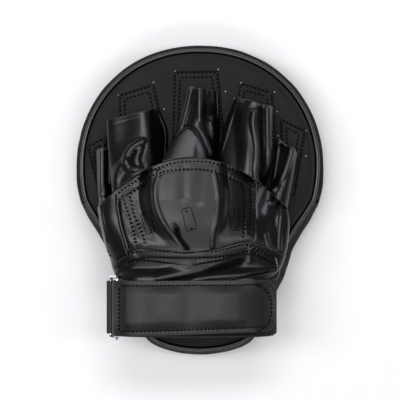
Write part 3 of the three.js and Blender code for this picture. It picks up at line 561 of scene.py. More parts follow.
def wrist_fade(px, py):
    reach, _side, _along = run_reach(WRIST_RUN, px, py)
    return ease_all(reach / WRIST_FADE)


def feature_heights(features, px, py):
    total = np.zeros(px.shape)
    for feature in features:
        if "area" in feature:
            reach = inside_reach(feature["area"], px, py)
            total += feature["height"] * ease_all(reach / feature["width"])
            continue
        run = curved(feature["fold"] if "fold" in feature else feature["step"])
        reach, side, _along = run_reach(run, px, py)
        if "fold" in feature:
            shape = np.exp(-((reach / feature["width"]) ** 2))
        else:
            beyond = reach * side * feature["side"]
            fade = 1 - ease_all((beyond - feature["width"]) / feature["reach"])
            shape = ease_all(beyond / feature["width"]) * fade
        if "inside" in feature:
            shape = shape * ease_all(inside_reach(feature["inside"], px, py) / INSIDE_FADE)
        if feature.get("pinned"):
            shape = shape * wrist_fade(px, py)
        total += feature["height"] * shape
    return total * MM


FOLD_HOLD = 0.35
ROW_PITCH = 4.0
ROW_STITCH = 2.7
PUCKER_LOW = -0.25
GROOVE_WIDTH = 1.3


class Sheet:
    """A grid of points over surface(s, w), with s across and w along, both from 0 to 1."""

    def __init__(self, surface, across, along):
        rows = [[surface(i / across, j / along) for i in range(across + 1)] for j in range(along + 1)]
        self.points = np.array(rows, dtype=float)

    def normals(self):
        down = np.gradient(self.points, axis=0)
        aside = np.gradient(self.points, axis=1)
        out = np.cross(down, aside)
        return out / np.maximum(1e-12, np.linalg.norm(out, axis=2, keepdims=True))

    def lift(self, heights):
        self.points = self.points + self.normals() * heights[:, :, None]

    def lift_by_features(self, features, base):
        z = self.points[:, :, 2]
        lift = feature_heights(features, *pixels_of(self.points))
        held = ease_all((z - base) / (GLOVE_RISE * FOLD_HOLD))
        self.points[:, :, 2] = np.maximum(base, z + lift * held)

    def groove_runs(self, runs, depth):
        """Sinks the leather along runs of photograph pixels."""
        px, py = pixels_of(self.points)
        total = np.zeros(px.shape)
        for run in runs:
            reach, _side, along = run_reach(curved(run), px, py)
            pull = 0.5 - 0.5 * np.cos(2 * math.pi * along / ROW_PITCH)
            pull = mix(PUCKER_LOW, 1, pull)
            total = np.maximum(total, np.exp(-((reach / GROOVE_WIDTH) ** 2)) * pull)
        self.lift(-total * depth)

    def measure(self):
        """Distances of each point from the four edges, along the sheet."""
        steps = np.linalg.norm(np.diff(self.points, axis=1), axis=2)
        left = np.concatenate([np.zeros((len(steps), 1)), np.cumsum(steps, axis=1)], axis=1)
        steps = np.linalg.norm(np.diff(self.points, axis=0), axis=2)
        top = np.concatenate([np.zeros((1, steps.shape[1])), np.cumsum(steps, axis=0)], axis=0)
        return dict(left=left, right=left[:, -1:] - left, top=top, bottom=top[-1:, :] - top)

    def build(self, name, thickness, outward):
        rows, columns = self.points.shape[:2]
        starts = [j * columns + i for j in range(rows - 1) for i in range(columns - 1)]
        faces = [(a, a + columns, a + columns + 1, a + 1) for a in starts]
        obj = new_object(name, self.points.reshape(-1, 3).tolist(), faces)
        thicken(obj, thickness, outward)
        return obj

    def row(self, edge, distance, lift, margins):
        """Places along a line at a distance from one edge, clear of the two edges beside it."""
        reach = self.measure()
        normals = self.normals()
        upright = edge in ("left", "right")
        beside = ("top", "bottom") if upright else ("left", "right")
        lines = self.points.shape[0] if upright else self.points.shape[1]
        places = []
        for k in range(lines):
            pick = (lambda a: a[k]) if upright else (lambda a: a[:, k])
            run = pick(reach[edge])
            points, outs = pick(self.points), pick(normals)
            first, last = pick(reach[beside[0]]), pick(reach[beside[1]])
            order = range(len(run) - 1) if edge in ("left", "top") else range(len(run) - 2, -1, -1)
            for i in order:
                low, high = sorted((run[i], run[i + 1]))
                if low <= distance <= high and high > low:
                    share = (distance - run[i]) / (run[i + 1] - run[i])
                    if mix(first[i], first[i + 1], share) < margins[0]:
                        break
                    if mix(last[i], last[i + 1], share) < margins[1]:
                        break
                    point = points[i] + (points[i + 1] - points[i]) * share
                    out = outs[i] + (outs[i + 1] - outs[i]) * share
                    places.append((Vector(point + out * lift), Vector(out).normalized()))
                    break
        return places


def groove(reach, at, half=0.75 * MM):
    return np.exp(-(((reach - at) / half) ** 2))


def band_lift(reach, width, soft=0.9 * MM):
    """Full on a band along an edge, none beyond it."""
    return 1 - ease_all((reach - width + soft) / (2 * soft))


def bowed_edge(edge, across):
    reach = abs(across - edge["centre"]) / edge["half"]
    return edge["low"] + edge["bow"] * (1 - reach ** edge["power"])


def stand_for(obj, node):
    """Rides a piece on the root, in the place of a node of the model."""
    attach(obj, "root")
    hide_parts(node)
    return obj


# Width and rise of the hems
STALL_HEM = (4 * MM, 0.1 * MM)
HAND_HEM = (9 * MM, 0.6 * MM)
ROW_DEPTH = 0.5 * MM


def glove_piece(name, node, sheet, base, hem=None, runs=()):
    """A piece of the glove with its folds, its hem and the pull of its stitch rows."""
    sheet.lift_by_features(FEATURES[node], base)
    if hem:
        width, rise = hem
        sheet.lift(band_lift(sheet.measure()["top"], width) * rise)
    if runs:
        sheet.groove_runs(runs, ROW_DEPTH)
    return stand_for(sheet.build(name, GLOVE_LEATHER, 1), node)


# Finger stalls
STALL_SPANS = 4
STALL_GRIDS = dict(stall_thumb=(60, 90), stall_index=(200, 170), stall_middle=(130, 110),
                   stall_ring=(130, 110), stall_little=(80, 90))


def stall_surface(name):
    stall = STALLS[name]
    rows = stall["rows"]
    rises = (0, stall["shoulders"][0], 1, stall["shoulders"][1], 0)
    first = rows[0]

    def surface(s, w):
        place = row_place(rows, "share", w)
        across = [row_value(rows, station, place) for station in STATIONS]
        rise = row_value(rows, "rise", place) * GLOVE_RISE
        u = smooth(across, s * STALL_SPANS)
        height = max(0.0, smooth(rises, s * STALL_SPANS)) * rise
        tip_share = (u - first["left"]) / (first["right"] - first["left"])
        tip = mix(stall["tip_left"], stall["tip_right"], tip_share) * HALF_LENGTH
        base = bowed_edge(KNUCKLE, u) * HALF_LENGTH + STALL_SEAM_LINE
        return Vector((u * HALF_WIDTH, mix(tip, base, w), STALL_BASE + height))

    return surface


def make_stall(name):
    sheet = Sheet(stall_surface(name), *STALL_GRIDS[name])
    return glove_piece("leather_" + name, name, sheet, STALL_BASE, STALL_HEM)


# Hand and wrist
SECTION_STEPS = 900
SECTION_TOP = 0.27
SECTION_LOW = -0.87


def section_row(along):
    place = row_place(HAND_ROWS, "along", along)
    across = [row_value(HAND_ROWS, column, place) for column in HAND_COLUMNS]
    rise = row_value(HAND_ROWS, "rise", place) * GLOVE_RISE
    side = row_value(HAND_ROWS, "side", place)
    seam = row_value(HAND_ROWS, "seam", place)
    return across, [share * rise for share in (0, side, seam, 1, seam, side, 0)]


SECTIONS = [section_row(mix(SECTION_TOP, SECTION_LOW, i / SECTION_STEPS)) for i in range(SECTION_STEPS + 1)]


def hand_section(along):
    place = clamp01((SECTION_TOP - along) / (SECTION_TOP - SECTION_LOW)) * SECTION_STEPS
    index = min(SECTION_STEPS - 1, int(place))
    share = place - index
    (across_a, heights_a), (across_b, heights_b) = SECTIONS[index], SECTIONS[index + 1]
    across = [mix(a, b, share) for a, b in zip(across_a, across_b)]
    heights = [mix(a, b, share) for a, b in zip(heights_a, heights_b)]
    return across, heights


def hand_point(place, along):
    across, heights = hand_section(along)
    x = smooth(across, place * HAND_SPANS) * HALF_WIDTH
    rise = max(0.0, smooth(heights, place * HAND_SPANS))
    return Vector((x, along * HALF_LENGTH, GLOVE_BASE + rise))


FIT_ROUNDS = 6


def hand_surface(upper_edge, lower_edge, left, right):
    def surface(s, w):
        place = mix(left, right, s)
        along = mix(upper_edge(0), lower_edge(0), w)
        for _ in range(FIT_ROUNDS):
            across, _heights = hand_section(along)
            u = smooth(across, place * HAND_SPANS)
            along = mix(upper_edge(u), lower_edge(u), w)
        return hand_point(place, along)

    return surface


def knuckle_edge(u):
    return bowed_edge(KNUCKLE, u)


def wrist_seam(u):
    return row_value(WRIST_SEAM_ROWS, "along", row_place(WRIST_SEAM_ROWS, "across", u))


def wrist_edge_above(u):
    return wrist_seam(u) + SEAM_GAP / HALF_LENGTH


def wrist_edge_below(u):
    return wrist_seam(u) - SEAM_GAP / HALF_LENGTH


def wrist_end_edge(_u):
    return WRIST_END


HAND_GRID = (220, 150)
GUSSET_GRID = (90, 110)
CUFF_GRID = (260, 110)


def make_hand_back():
    surface = hand_surface(knuckle_edge, wrist_edge_above, LEFT_SEAM, RIGHT_SEAM)
    sheet = Sheet(surface, *HAND_GRID)
    return glove_piece("leather_hand_back", "hand_back", sheet, GLOVE_BASE, HAND_HEM, HAND_ROW_RUNS)


def make_gusset(node, left, right):
    sheet = Sheet(hand_surface(knuckle_edge, wrist_edge_above, left, right), *GUSSET_GRID)
    return glove_piece("leather_" + node, node, sheet, GLOVE_BASE)


def make_cuff():
    sheet = Sheet(hand_surface(wrist_edge_below, wrist_end_edge, 0, 1), *CUFF_GRID)
    return glove_piece("leather_cuff", "wrist_cuff", sheet, GLOVE_BASE, HAND_HEM, CUFF_ROW_RUNS)


# Pad: strike face, side bands, back panel, edge cord and patches
def ring_object(name, rings, cap_first=False, cap_last=False, closed=False):
    """A surface through rings of points: open, capped or closed on itself."""
    count = len(rings[0])
    points = [p for ring in rings for p in ring]
    faces = []
    for r in range(len(rings) if closed else len(rings) - 1):
        low = r * count
        high = (r + 1) % len(rings) * count
        for i in range(count):
            j = (i + 1) % count
            faces.append((low + i, low + j, high + j, high + i))
    if cap_first:
        faces.append(tuple(reversed(range(count))))
    if cap_last:
        last = (len(rings) - 1) * count
        faces.append(tuple(last + i for i in range(count)))
    return new_object(name, points, faces)


FACE_SHARES = (0.02, 0.2, 0.4, 0.6, 0.75, 0.86)
RIM_STEPS = 10
STRIKE_LEATHER = 2.2 * MM
LIP_TURN = 0.5 * MM


def make_strike_face():
    rings = []
    for share in FACE_SHARES:
        rings.append([Vector((p.x * share, p.y * share, 0)) for p, _ in OUTLINE])
    for i in range(RIM_STEPS + 1):
        angle = math.pi / 2 * i / RIM_STEPS
        inset = STRIKE_RIM_RADIUS * (1 - math.sin(angle))
        height = STRIKE_RIM_RADIUS * (1 - math.cos(angle))
        rings.append([inset_point(spot, inset, height) for spot in OUTLINE])
    rings.append([inset_point(spot, LIP_TURN, STRIKE_TOP + LIP_TURN / 4) for spot in OUTLINE])
    obj = ring_object("leather_strike_face", rings, cap_first=True)
    thicken(obj, STRIKE_LEATHER, -1)
    stand_for(obj, "strike_panel")
    return obj


BAND_PUFF = 1.4 * MM
BAND_RIPPLE = 0.35 * MM
BAND_ALONG = 14
RIPPLE_SCALE = 90
RIPPLE_FLAT = 0.4
BAND_SEAM_STEPS = 6
BAND_SEAM_PUFF = 0.25
BAND_SEAM = next(
    i for i, (p, _) in enumerate(OUTLINE) if p.x > 0 and p.y > BAND_SEAM_ALONG * HALF_LENGTH
)


def outline_spot(place):
    whole = math.floor(place)
    share = place - whole
    a = OUTLINE[whole % OUTLINE_STEPS]
    b = OUTLINE[(whole + 1) % OUTLINE_STEPS]
    return a[0].lerp(b[0], share), a[1].lerp(b[1], share).normalized()


def make_band(node, start, finish):
    steps = finish - start
    trim = SEAM_GAP / OUTLINE_LENGTH * OUTLINE_STEPS

    def surface(s, w):
        spot = outline_spot(mix(start + trim, finish - trim, s))
        height = mix(BAND_HIGH, BAND_LOW, w)
        near_seam = ease(min(s, 1 - s) * steps / BAND_SEAM_STEPS)
        ripple = noise.noise(Vector((spot[0].x, spot[0].y, height * RIPPLE_FLAT)) * RIPPLE_SCALE)
        bulge = (BAND_PUFF + ripple * BAND_RIPPLE) * math.sin(math.pi * w) * mix(BAND_SEAM_PUFF, 1, near_seam)
        inset = back_inset(spot[0]) * ease(1 - w) + PANEL_LEATHER - bulge
        return inset_point(spot, inset, height)

    obj = Sheet(surface, steps, BAND_ALONG).build("leather_" + node, PANEL_LEATHER, 1)
    stand_for(obj, node)
    return obj


PANEL_INSETS = (0, 0.6, 1.4, 2.2, 3.0, 4.0, 6.0, 9.0, 13.0)
PANEL_DROPS = (0.7, 0.35, 0.3, 0.5, 0.55, 0.3, 0.1, 0.0, 0.0)
PANEL_SHARES = (0.85, 0.7, 0.55, 0.4, 0.25, 0.12, 0.03)
PANEL_WAVE = 0.22 * MM
WAVE_SCALE = 28
WAVE_LEVEL = 0.3


def panel_ring(extra, drop):
    ring = []
    for spot in OUTLINE:
        inset = back_inset(spot[0]) + WELT_RADIUS * 2 + SEAM_GAP + extra
        ring.append(inset_point(spot, inset, PAD_TOP - drop))
    return ring


def make_back_panel():
    rings = [panel_ring(e * MM, d * MM) for e, d in zip(PANEL_INSETS, PANEL_DROPS)]
    last = rings[-1]
    for share in PANEL_SHARES:
        ring = []
        for p in last:
            wave = noise.noise(Vector((p.x * share, p.y * share, WAVE_LEVEL)) * WAVE_SCALE)
            ring.append(Vector((p.x * share, p.y * share, PAD_TOP + min(0, wave) * PANEL_WAVE)))
        rings.append(ring)
    obj = ring_object("leather_back_panel", rings, cap_last=True)
    thicken(obj, PANEL_LEATHER, -1)
    stand_for(obj, "back_panel")
    return obj


def closed_tube(name, path, plane, radius, sides):
    count = len(path)
    rings = []
    for i, point in enumerate(path):
        run = (path[(i + 1) % count] - path[i - 1]).normalized()
        aside = run.cross(plane).normalized()
        ring = []
        for k in range(sides):
            angle = 2 * math.pi * k / sides
            ring.append(point + aside * (math.cos(angle) * radius) - plane * (math.sin(angle) * radius))
        rings.append(ring)
    return ring_object(name, rings, closed=True)


CORD_SWELL = 1.06
CORD_SIDES = 12


def make_welt():
    height = PAD_TOP - WELT_RADIUS
    path = [inset_point(spot, back_inset(spot[0]) + WELT_RADIUS, height) for spot in OUTLINE]
    obj = closed_tube("leather_edge_cord", path, Vector((0, 0, 1)), WELT_RADIUS * CORD_SWELL, CORD_SIDES)
    return stand_for(obj, "back_welt")


PATCH_EDGE_DROP = 0.35 * MM
PATCH_ROUND = 0.8 * MM
PATCH_ROW_DEPTH = 0.25 * MM
PATCH_ROWS_AT = (1.3 * MM, 5.2 * MM)
PATCH_STEPS = 60


def patch_corners(name):
    return [Vector((u * HALF_WIDTH, v * HALF_LENGTH, PATCH_TOP)) for u, v in PATCHES[name]]


def make_patch(node):
    base_left, base_right, tip_right, tip_left = patch_corners(node)

    def surface(s, w):
        return tip_left.lerp(tip_right, s).lerp(base_left.lerp(base_right, s), w)

    sheet = Sheet(surface, PATCH_STEPS, PATCH_STEPS)
    reach = sheet.measure()
    edge = np.minimum(np.minimum(reach["left"], reach["right"]), reach["top"])
    lift = -PATCH_EDGE_DROP * (1 - ease_all(edge / PATCH_ROUND))
    for row in PATCH_ROWS_AT:
        lift -= groove(edge, row) * PATCH_ROW_DEPTH
    sheet.lift(lift + feature_heights(FEATURES.get(node, []), *pixels_of(sheet.points)))
    obj = sheet.build("leather_" + node, PATCH_TOP - PATCH_BASE - PATCH_EDGE_DROP, -1)
    return stand_for(obj, node), sheet


# Strap, its loop layer, its ring and the ring's tab follow the wrist at a distance
SLOPE_STEP = 0.002
STRAP_MIDDLE = -0.672 * HALF_LENGTH
STRAP_TURN = 0.24
STRAP_RETURN = 0.285
STRAP_TIP = 0.775
STRAP_TIP_WIDTH_SHARE = 0.93
STRAP_TIP_SHIFT = 2.2 * MM
STRAP_TIP_ROUND = 0.06
STRAP_LIFT_RUN = 0.13
CUFF_ACROSS = 24
LOOP_START = 7 / CUFF_ACROSS
LOOP_END = 23 / CUFF_ACROSS
LOOP_FLARE = dict(start=0.72, upper=0.24, lower=-0.1)
TAB_START = 1 / CUFF_ACROSS
TAB_TURN = 4 / CUFF_ACROSS
TAB_WIDTH_SHARE = 0.96
RING_SIDE_ROOM = 1.2 * MM
RETURN_PART = 0.08
TURN_PART = 0.24
TIP_BLUNT = 0.3
TAB_RUN_PART = 0.35

LOOP_INNER = GLOVE_LEATHER + STRAP_GAP
STRAP_RETURN_OFFSET = LOOP_INNER + STRAP_THICKNESS / 2
STRAP_TURN_RADIUS = RING_WIRE_RADIUS + SEAM_GAP + STRAP_THICKNESS / 2
RING_OFFSET = STRAP_RETURN_OFFSET + STRAP_TURN_RADIUS
STRAP_OFFSET = LOOP_INNER + LOOP_THICKNESS + STRAP_GAP + STRAP_THICKNESS / 2
TAB_OFFSET = LOOP_INNER + TAB_THICKNESS / 2
TAB_TURN_RADIUS = RING_WIRE_RADIUS + SEAM_GAP + TAB_THICKNESS / 2
TAB_OUTER_OFFSET = TAB_OFFSET + TAB_THICKNESS + SEAM_GAP
STRAP_LIFT = RING_OFFSET + STRAP_TURN_RADIUS - STRAP_OFFSET


def wrist_frame(place, y):
    along = y / HALF_LENGTH
    point = hand_point(place, along)
    run = hand_point(place + SLOPE_STEP, along) - hand_point(place - SLOPE_STEP, along)
    run.y = 0
    run.normalize()
    return point, run, Vector((-run.z, 0, run.x))


def off_wrist(place, y, distance):
    point, _, out = wrist_frame(place, y)
    return point + out * distance


def wire_turn(spot, centre_offset, radius, share, towards):
    point, run, out = spot
    angle = math.pi * share
    middle = point + out * (centre_offset - math.cos(angle) * radius)
    return middle + run * (math.sin(angle) * radius * towards)


def strap_path(s, y):
    if s < RETURN_PART:
        place = mix(STRAP_RETURN, STRAP_TURN, s / RETURN_PART)
        return off_wrist(place, y, STRAP_RETURN_OFFSET)
    if s < TURN_PART:
        share = (s - RETURN_PART) / (TURN_PART - RETURN_PART)
        return wire_turn(wrist_frame(STRAP_TURN, y), RING_OFFSET, STRAP_TURN_RADIUS, share, -1)
    place = mix(STRAP_TURN, STRAP_TIP, (s - TURN_PART) / (1 - TURN_PART))
    lift = STRAP_LIFT * (1 - ease((place - STRAP_TURN) / STRAP_LIFT_RUN))
    return off_wrist(place, y, STRAP_OFFSET + lift)


def strap_run_share(s):
    return ease((s - TURN_PART) / (1 - TURN_PART))


def strap_half_width(s):
    start = 1 - STRAP_TIP_ROUND
    reach = max(0.0, s - start) / STRAP_TIP_ROUND
    narrowed = mix(1, STRAP_TIP_WIDTH_SHARE, strap_run_share(s))
    return STRAP_WIDTH / 2 * narrowed * mix(TIP_BLUNT, 1, math.sqrt(max(0.0, 1 - reach * reach)))


def strap_middle(s):
    return STRAP_MIDDLE + STRAP_TIP_SHIFT * strap_run_share(s)


STRAP_BORDER = 3.6 * MM
STRAP_BORDER_RISE = 0.45 * MM
STRAP_ROW_DEPTH = 0.4 * MM
STRAP_SWELL = [
    step(-1, 24, 3.4, 400, (258, 276), (258, 340)),
    fold(15, 1.2, (165, 296), (165, 312)),
    fold(11, -1.3, (192, 285), (190, 334)),
    fold(13, 1.2, (221, 296), (219, 312)),
]
STRAP_SWELL_EDGE = 12 * MM
STRAP_TIP_RUN = [(256, 285), (264, 288.5), (269, 295), (271, 304), (270.5, 315), (266.5, 325), (257, 331)]
STRAP_LEFT_RUN = [(118.5, 287), (118.5, 331)]
STRAP_TIP_GRID = 0.8
STRAP_RUN_FADE = 12
STRAP_GRID = (190, 60)


def strap_share(s):
    """Grid share to strap share, with finer steps at the rounded tip."""
    if s < STRAP_TIP_GRID:
        return mix(0, 1 - STRAP_TIP_ROUND, s / STRAP_TIP_GRID)
    turn = math.sin(math.pi / 2 * (s - STRAP_TIP_GRID) / (1 - STRAP_TIP_GRID))
    return mix(1 - STRAP_TIP_ROUND, 1, turn)


def make_strap_over():
    def surface(s, w):
        s = strap_share(s)
        half = strap_half_width(s)
        return strap_path(s, strap_middle(s) + mix(half, -half, w))

    sheet = Sheet(surface, *STRAP_GRID)
    columns = sheet.points.shape[1]
    shares = np.array([strap_share(i / (columns - 1)) for i in range(columns)])
    on_run = ease_all((shares - TURN_PART) * STRAP_RUN_FADE)[None, :]
    reach = sheet.measure()
    edge = np.minimum(reach["top"], reach["bottom"])
    lift = band_lift(edge, STRAP_BORDER) * STRAP_BORDER_RISE
    lift -= groove(edge, STRAP_BORDER) * STRAP_ROW_DEPTH
    swell = feature_heights(STRAP_SWELL, *pixels_of(sheet.points))
    sheet.lift((lift + swell * ease_all(edge / STRAP_SWELL_EDGE)) * on_run)
    sheet.groove_runs([STRAP_TIP_RUN, STRAP_LEFT_RUN], STRAP_ROW_DEPTH)
    obj = sheet.build("leather_strap_over", STRAP_THICKNESS, 0)
    return stand_for(obj, "strap_over"), sheet


LOOP_FRAY = 0.12 * MM
LOOP_FRAY_FADE = 12
LOOP_FRAY_ACROSS = 40
LOOP_FRAY_ALONG = 60
LOOP_FRAY_LEVEL = 0.7
LOOP_GRID = (140, 60)


def make_strap_under():
    def surface(s, w):
        place = mix(LOOP_START, LOOP_END, s)
        flare = ease((place - LOOP_FLARE["start"]) / (1 - LOOP_FLARE["start"]))
        upper = STRAP_WIDTH * (0.5 + LOOP_FLARE["upper"] * flare)
        lower = STRAP_WIDTH * (0.5 + LOOP_FLARE["lower"] * flare)
        y = STRAP_MIDDLE + mix(upper, -lower, w)
        spot = Vector((place * LOOP_FRAY_ACROSS, w * LOOP_FRAY_ALONG, LOOP_FRAY_LEVEL))
        fray = noise.noise(spot) * LOOP_FRAY
        return off_wrist(place, y, LOOP_INNER + fray * ease(min(w, 1 - w) * LOOP_FRAY_FADE))

    obj = Sheet(surface, *LOOP_GRID).build("fabric_strap_under", LOOP_THICKNESS, 1)
    return stand_for(obj, "strap_under")


RING_CORNER_STEPS = 8
RING_SIDE_STEPS = 6
RING_WIRE_SIDES = 20


def make_strap_ring():
    strap_bar = off_wrist(STRAP_TURN, STRAP_MIDDLE, RING_OFFSET)
    tab_bar = off_wrist(TAB_TURN, STRAP_MIDDLE, TAB_OFFSET + TAB_TURN_RADIUS)
    half = STRAP_WIDTH / 2 + RING_SIDE_ROOM + RING_WIRE_RADIUS
    corner = RING_WIRE_RADIUS * 2
    depth = (strap_bar - tab_bar).length
    down = (tab_bar - strap_bar).normalized()
    plane = down.cross(Vector((0, 1, 0)))
    centres = [
        (corner, half - corner),
        (corner, corner - half),
        (depth - corner, corner - half),
        (depth - corner, half - corner),
    ]
    corners = []
    for quarter, (drop, side) in enumerate(centres):
        arc = []
        for i in range(RING_CORNER_STEPS + 1):
            angle = math.pi / 2 * (quarter + i / RING_CORNER_STEPS)
            point = strap_bar + down * (drop - math.sin(angle) * corner)
            point.y += side + math.cos(angle) * corner
            arc.append(point)
        corners.append(arc)
    path = []
    for quarter, arc in enumerate(corners):
        path.extend(arc)
        start, end = arc[-1], corners[(quarter + 1) % 4][0]
        path.extend(start.lerp(end, i / RING_SIDE_STEPS) for i in range(1, RING_SIDE_STEPS))
    obj = closed_tube("metal_strap_ring", path, plane, RING_WIRE_RADIUS, RING_WIRE_SIDES)
    return stand_for(obj, "strap_ring")


def tab_path(s, y):
    if s < TAB_RUN_PART:
        return off_wrist(mix(TAB_START, TAB_TURN, s / TAB_RUN_PART), y, TAB_OFFSET)
    if s < 1 - TAB_RUN_PART:
        share = (s - TAB_RUN_PART) / (1 - 2 * TAB_RUN_PART)
        middle = TAB_OFFSET + TAB_TURN_RADIUS
        return wire_turn(wrist_frame(TAB_TURN, y), middle, TAB_TURN_RADIUS, share, 1)
    back = (1 - s) / TAB_RUN_PART
    far = TAB_OFFSET + 2 * TAB_TURN_RADIUS
    return off_wrist(mix(TAB_START, TAB_TURN, back), y, mix(TAB_OUTER_OFFSET, far, ease(back)))


TAB_GRID = (80, 30)


def make_ring_tab():
    half = STRAP_WIDTH * TAB_WIDTH_SHARE / 2

    def surface(s, w):
        return tab_path(1 - s, STRAP_MIDDLE + mix(half, -half, w))

    obj = Sheet(surface, *TAB_GRID).build("leather_ring_tab", TAB_THICKNESS, 0)
    return stand_for(obj, "ring_tab")


# Stitches: short rounded bars of thread laid along runs on a surface
STITCH_PITCH = 3.2 * MM
STITCH_LENGTH = 2.2 * MM
STITCH_RADIUS = 0.58 * MM
STITCH_SIDES = 6
STITCH_RINGS = ((0, 0.15), (0.12, 0.8), (0.5, 1), (0.88, 0.8), (1, 0.15))
LONGEST_STITCH = 2
KNOT_LEAN = Vector((0.3, 1, 0.2))
KNOT_TURNS = (0.4, 1.5, 2.6)
KNOT_THREAD = 0.35


class ThreadMesh:
    """Collects many stitches into one mesh."""

    def __init__(self):
        self.points = []
        self.faces = []

    def bar(self, start, end, normal, radius=STITCH_RADIUS):
        run = end - start
        if run.length < radius:
            return
        aside = run.cross(normal).normalized()
        up = aside.cross(run).normalized()
        base = len(self.points)
        for share, width in STITCH_RINGS:
            lift = math.sin(math.pi * share) * radius * 0.5
            centre = start + run * share + up * lift
            for k in range(STITCH_SIDES):
                angle = 2 * math.pi * k / STITCH_SIDES
                spot = centre + aside * (math.cos(angle) * radius * width)
                self.points.append(spot + up * (math.sin(angle) * radius * width))
        for r in range(len(STITCH_RINGS) - 1):
            low = base + r * STITCH_SIDES
            for k in range(STITCH_SIDES):
                j = (k + 1) % STITCH_SIDES
                self.faces.append((low + k, low + STITCH_SIDES + k, low + STITCH_SIDES + j, low + j))
        last = base + (len(STITCH_RINGS) - 1) * STITCH_SIDES
        self.faces.append(tuple(base + k for k in range(STITCH_SIDES)))
        self.faces.append(tuple(last + k for k in reversed(range(STITCH_SIDES))))

    def row(self, places, pitch=STITCH_PITCH, length=STITCH_LENGTH, radius=STITCH_RADIUS):
        """Stitches along a list of (point, normal) places."""
        lengths = [0.0]
        for (a, _), (b, _) in zip(places, places[1:]):
            lengths.append(lengths[-1] + (b - a).length)

        def spot(distance):
            index = 0
            while index < len(lengths) - 2 and lengths[index + 1] < distance:
                index += 1
            span = max(1e-9, lengths[index + 1] - lengths[index])
            share = clamp01((distance - lengths[index]) / span)
            point = places[index][0].lerp(places[index + 1][0], share)
            return point, places[index][1].lerp(places[index + 1][1], share).normalized()

        distance = (pitch - length) / 2
        while distance + length <= lengths[-1]:
            start, normal = spot(distance)
            end, _ = spot(distance + length)
            self.bar(start, end, normal, radius)
            distance += pitch

    def run(self, tree, run, pitch=ROW_PITCH, length=ROW_STITCH, radius=STITCH_RADIUS):
        """Stitches where the camera sees a surface along a run of pixels."""
        distance = (pitch - length) / 2
        total = run_length(run)
        while distance + length <= total:
            start = seen_at(tree, *run_spot(run, distance))
            end = seen_at(tree, *run_spot(run, distance + length))
            if start and end and (start[0] - end[0]).length < length * PIXEL * LONGEST_STITCH:
                self.bar(start[0], end[0], (start[1] + end[1]).normalized(), radius)
            distance += pitch

    def knot(self, point, normal, radius):
        """A small lump of thread ends."""
        aside = normal.cross(KNOT_LEAN).normalized()
        forward = normal.cross(aside)
        for angle in KNOT_TURNS:
            run = aside * math.cos(angle) + forward * math.sin(angle)
            self.bar(point - run * radius, point + run * radius, normal, radius * KNOT_THREAD)

    def knots(self, tree, pixels, radius):
        """Knots where the camera sees a surface at pixels."""
        for px, py in pixels:
            hit = seen_at(tree, px, py)
            if hit:
                self.knot(hit[0], hit[1], radius)

    def build(self, name, slot):
        obj = new_object(name, self.points, self.faces)
        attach(obj, "root")
        return obj


# Build the leather pieces
strike_face = make_strike_face()
band_upper = make_band("side_band_upper", BAND_SEAM, OUTLINE_STEPS - BAND_SEAM)
band_lower = make_band("side_band_lower", -BAND_SEAM, BAND_SEAM)
back_panel = make_back_panel()
edge_cord = make_welt()
patch_sheets = {name: make_patch(name) for name in PATCHES}
patches = [obj for obj, _ in patch_sheets.values()]
stalls = {name: make_stall(name) for name in STALLS}
hand_back = make_hand_back()
SEAM_TRIM = 0.0022
gusset_left = make_gusset("gusset_left", 0, LEFT_SEAM - SEAM_TRIM)
gusset_right = make_gusset("gusset_right", RIGHT_SEAM + SEAM_TRIM, 1)
cuff = make_cuff()
strap_over, strap_sheet = make_strap_over()
strap_under = make_strap_under()
strap_ring = make_strap_ring()
ring_tab = make_ring_tab()

# Stitch rows
dark_thread = ThreadMesh()
pad_tree = surface_tree(back_panel, *patches)
glove_tree = surface_tree(hand_back, cuff, gusset_left, gusset_right, *stalls.values())

for _, sheet in patch_sheets.values():
    for row in PATCH_ROWS_AT:
        for edge, margin in (("left", 0), ("right", 0), ("top", row)):
            dark_thread.row(sheet.row(edge, row, 0, (row, margin)))

for run in HAND_ROW_RUNS + CUFF_ROW_RUNS:
    dark_thread.run(glove_tree, curved(run))

BOXES = [
    [(140, 214), (149, 211), (154.5, 231), (146, 234)],
    [(181, 209), (190.5, 206.5), (196.5, 228), (186, 230.5)],
    [(229, 208.5), (238, 209), (239, 229), (230.5, 230)],
]
BOX_KNOTS = [
    [(143.5, 215), (150.5, 230)],
    [(186, 211), (191, 228)],
    [(234, 212.5), (235.5, 227)],
]
BOX_PITCH = 2.6
BOX_STITCH = 1.9
BOX_THREAD = 0.5 * MM
BOX_KNOT = 1.0 * MM
for box, knots in zip(BOXES, BOX_KNOTS):
    loop = box + [box[0]]
    for a, b in zip(loop, loop[1:]):
        dark_thread.run(glove_tree, [a, b], BOX_PITCH, BOX_STITCH, BOX_THREAD)
    dark_thread.knots(glove_tree, knots, BOX_KNOT)

# Pitch, length and radius of the strap's stitches, and what its rows leave free at their ends
STRAP_STITCHES = (3.1 * MM, 2.1 * MM, 0.55 * MM)
STRAP_ROW_ENDS = (25 * MM, 20 * MM)
for edge in ("top", "bottom"):
    places = strap_sheet.row(edge, STRAP_BORDER, STRAP_THICKNESS / 2, STRAP_ROW_ENDS)
    dark_thread.row(places, *STRAP_STITCHES)
strap_tree = surface_tree(strap_over)
for run in (STRAP_TIP_RUN, STRAP_LEFT_RUN):
    dark_thread.run(strap_tree, curved(run))

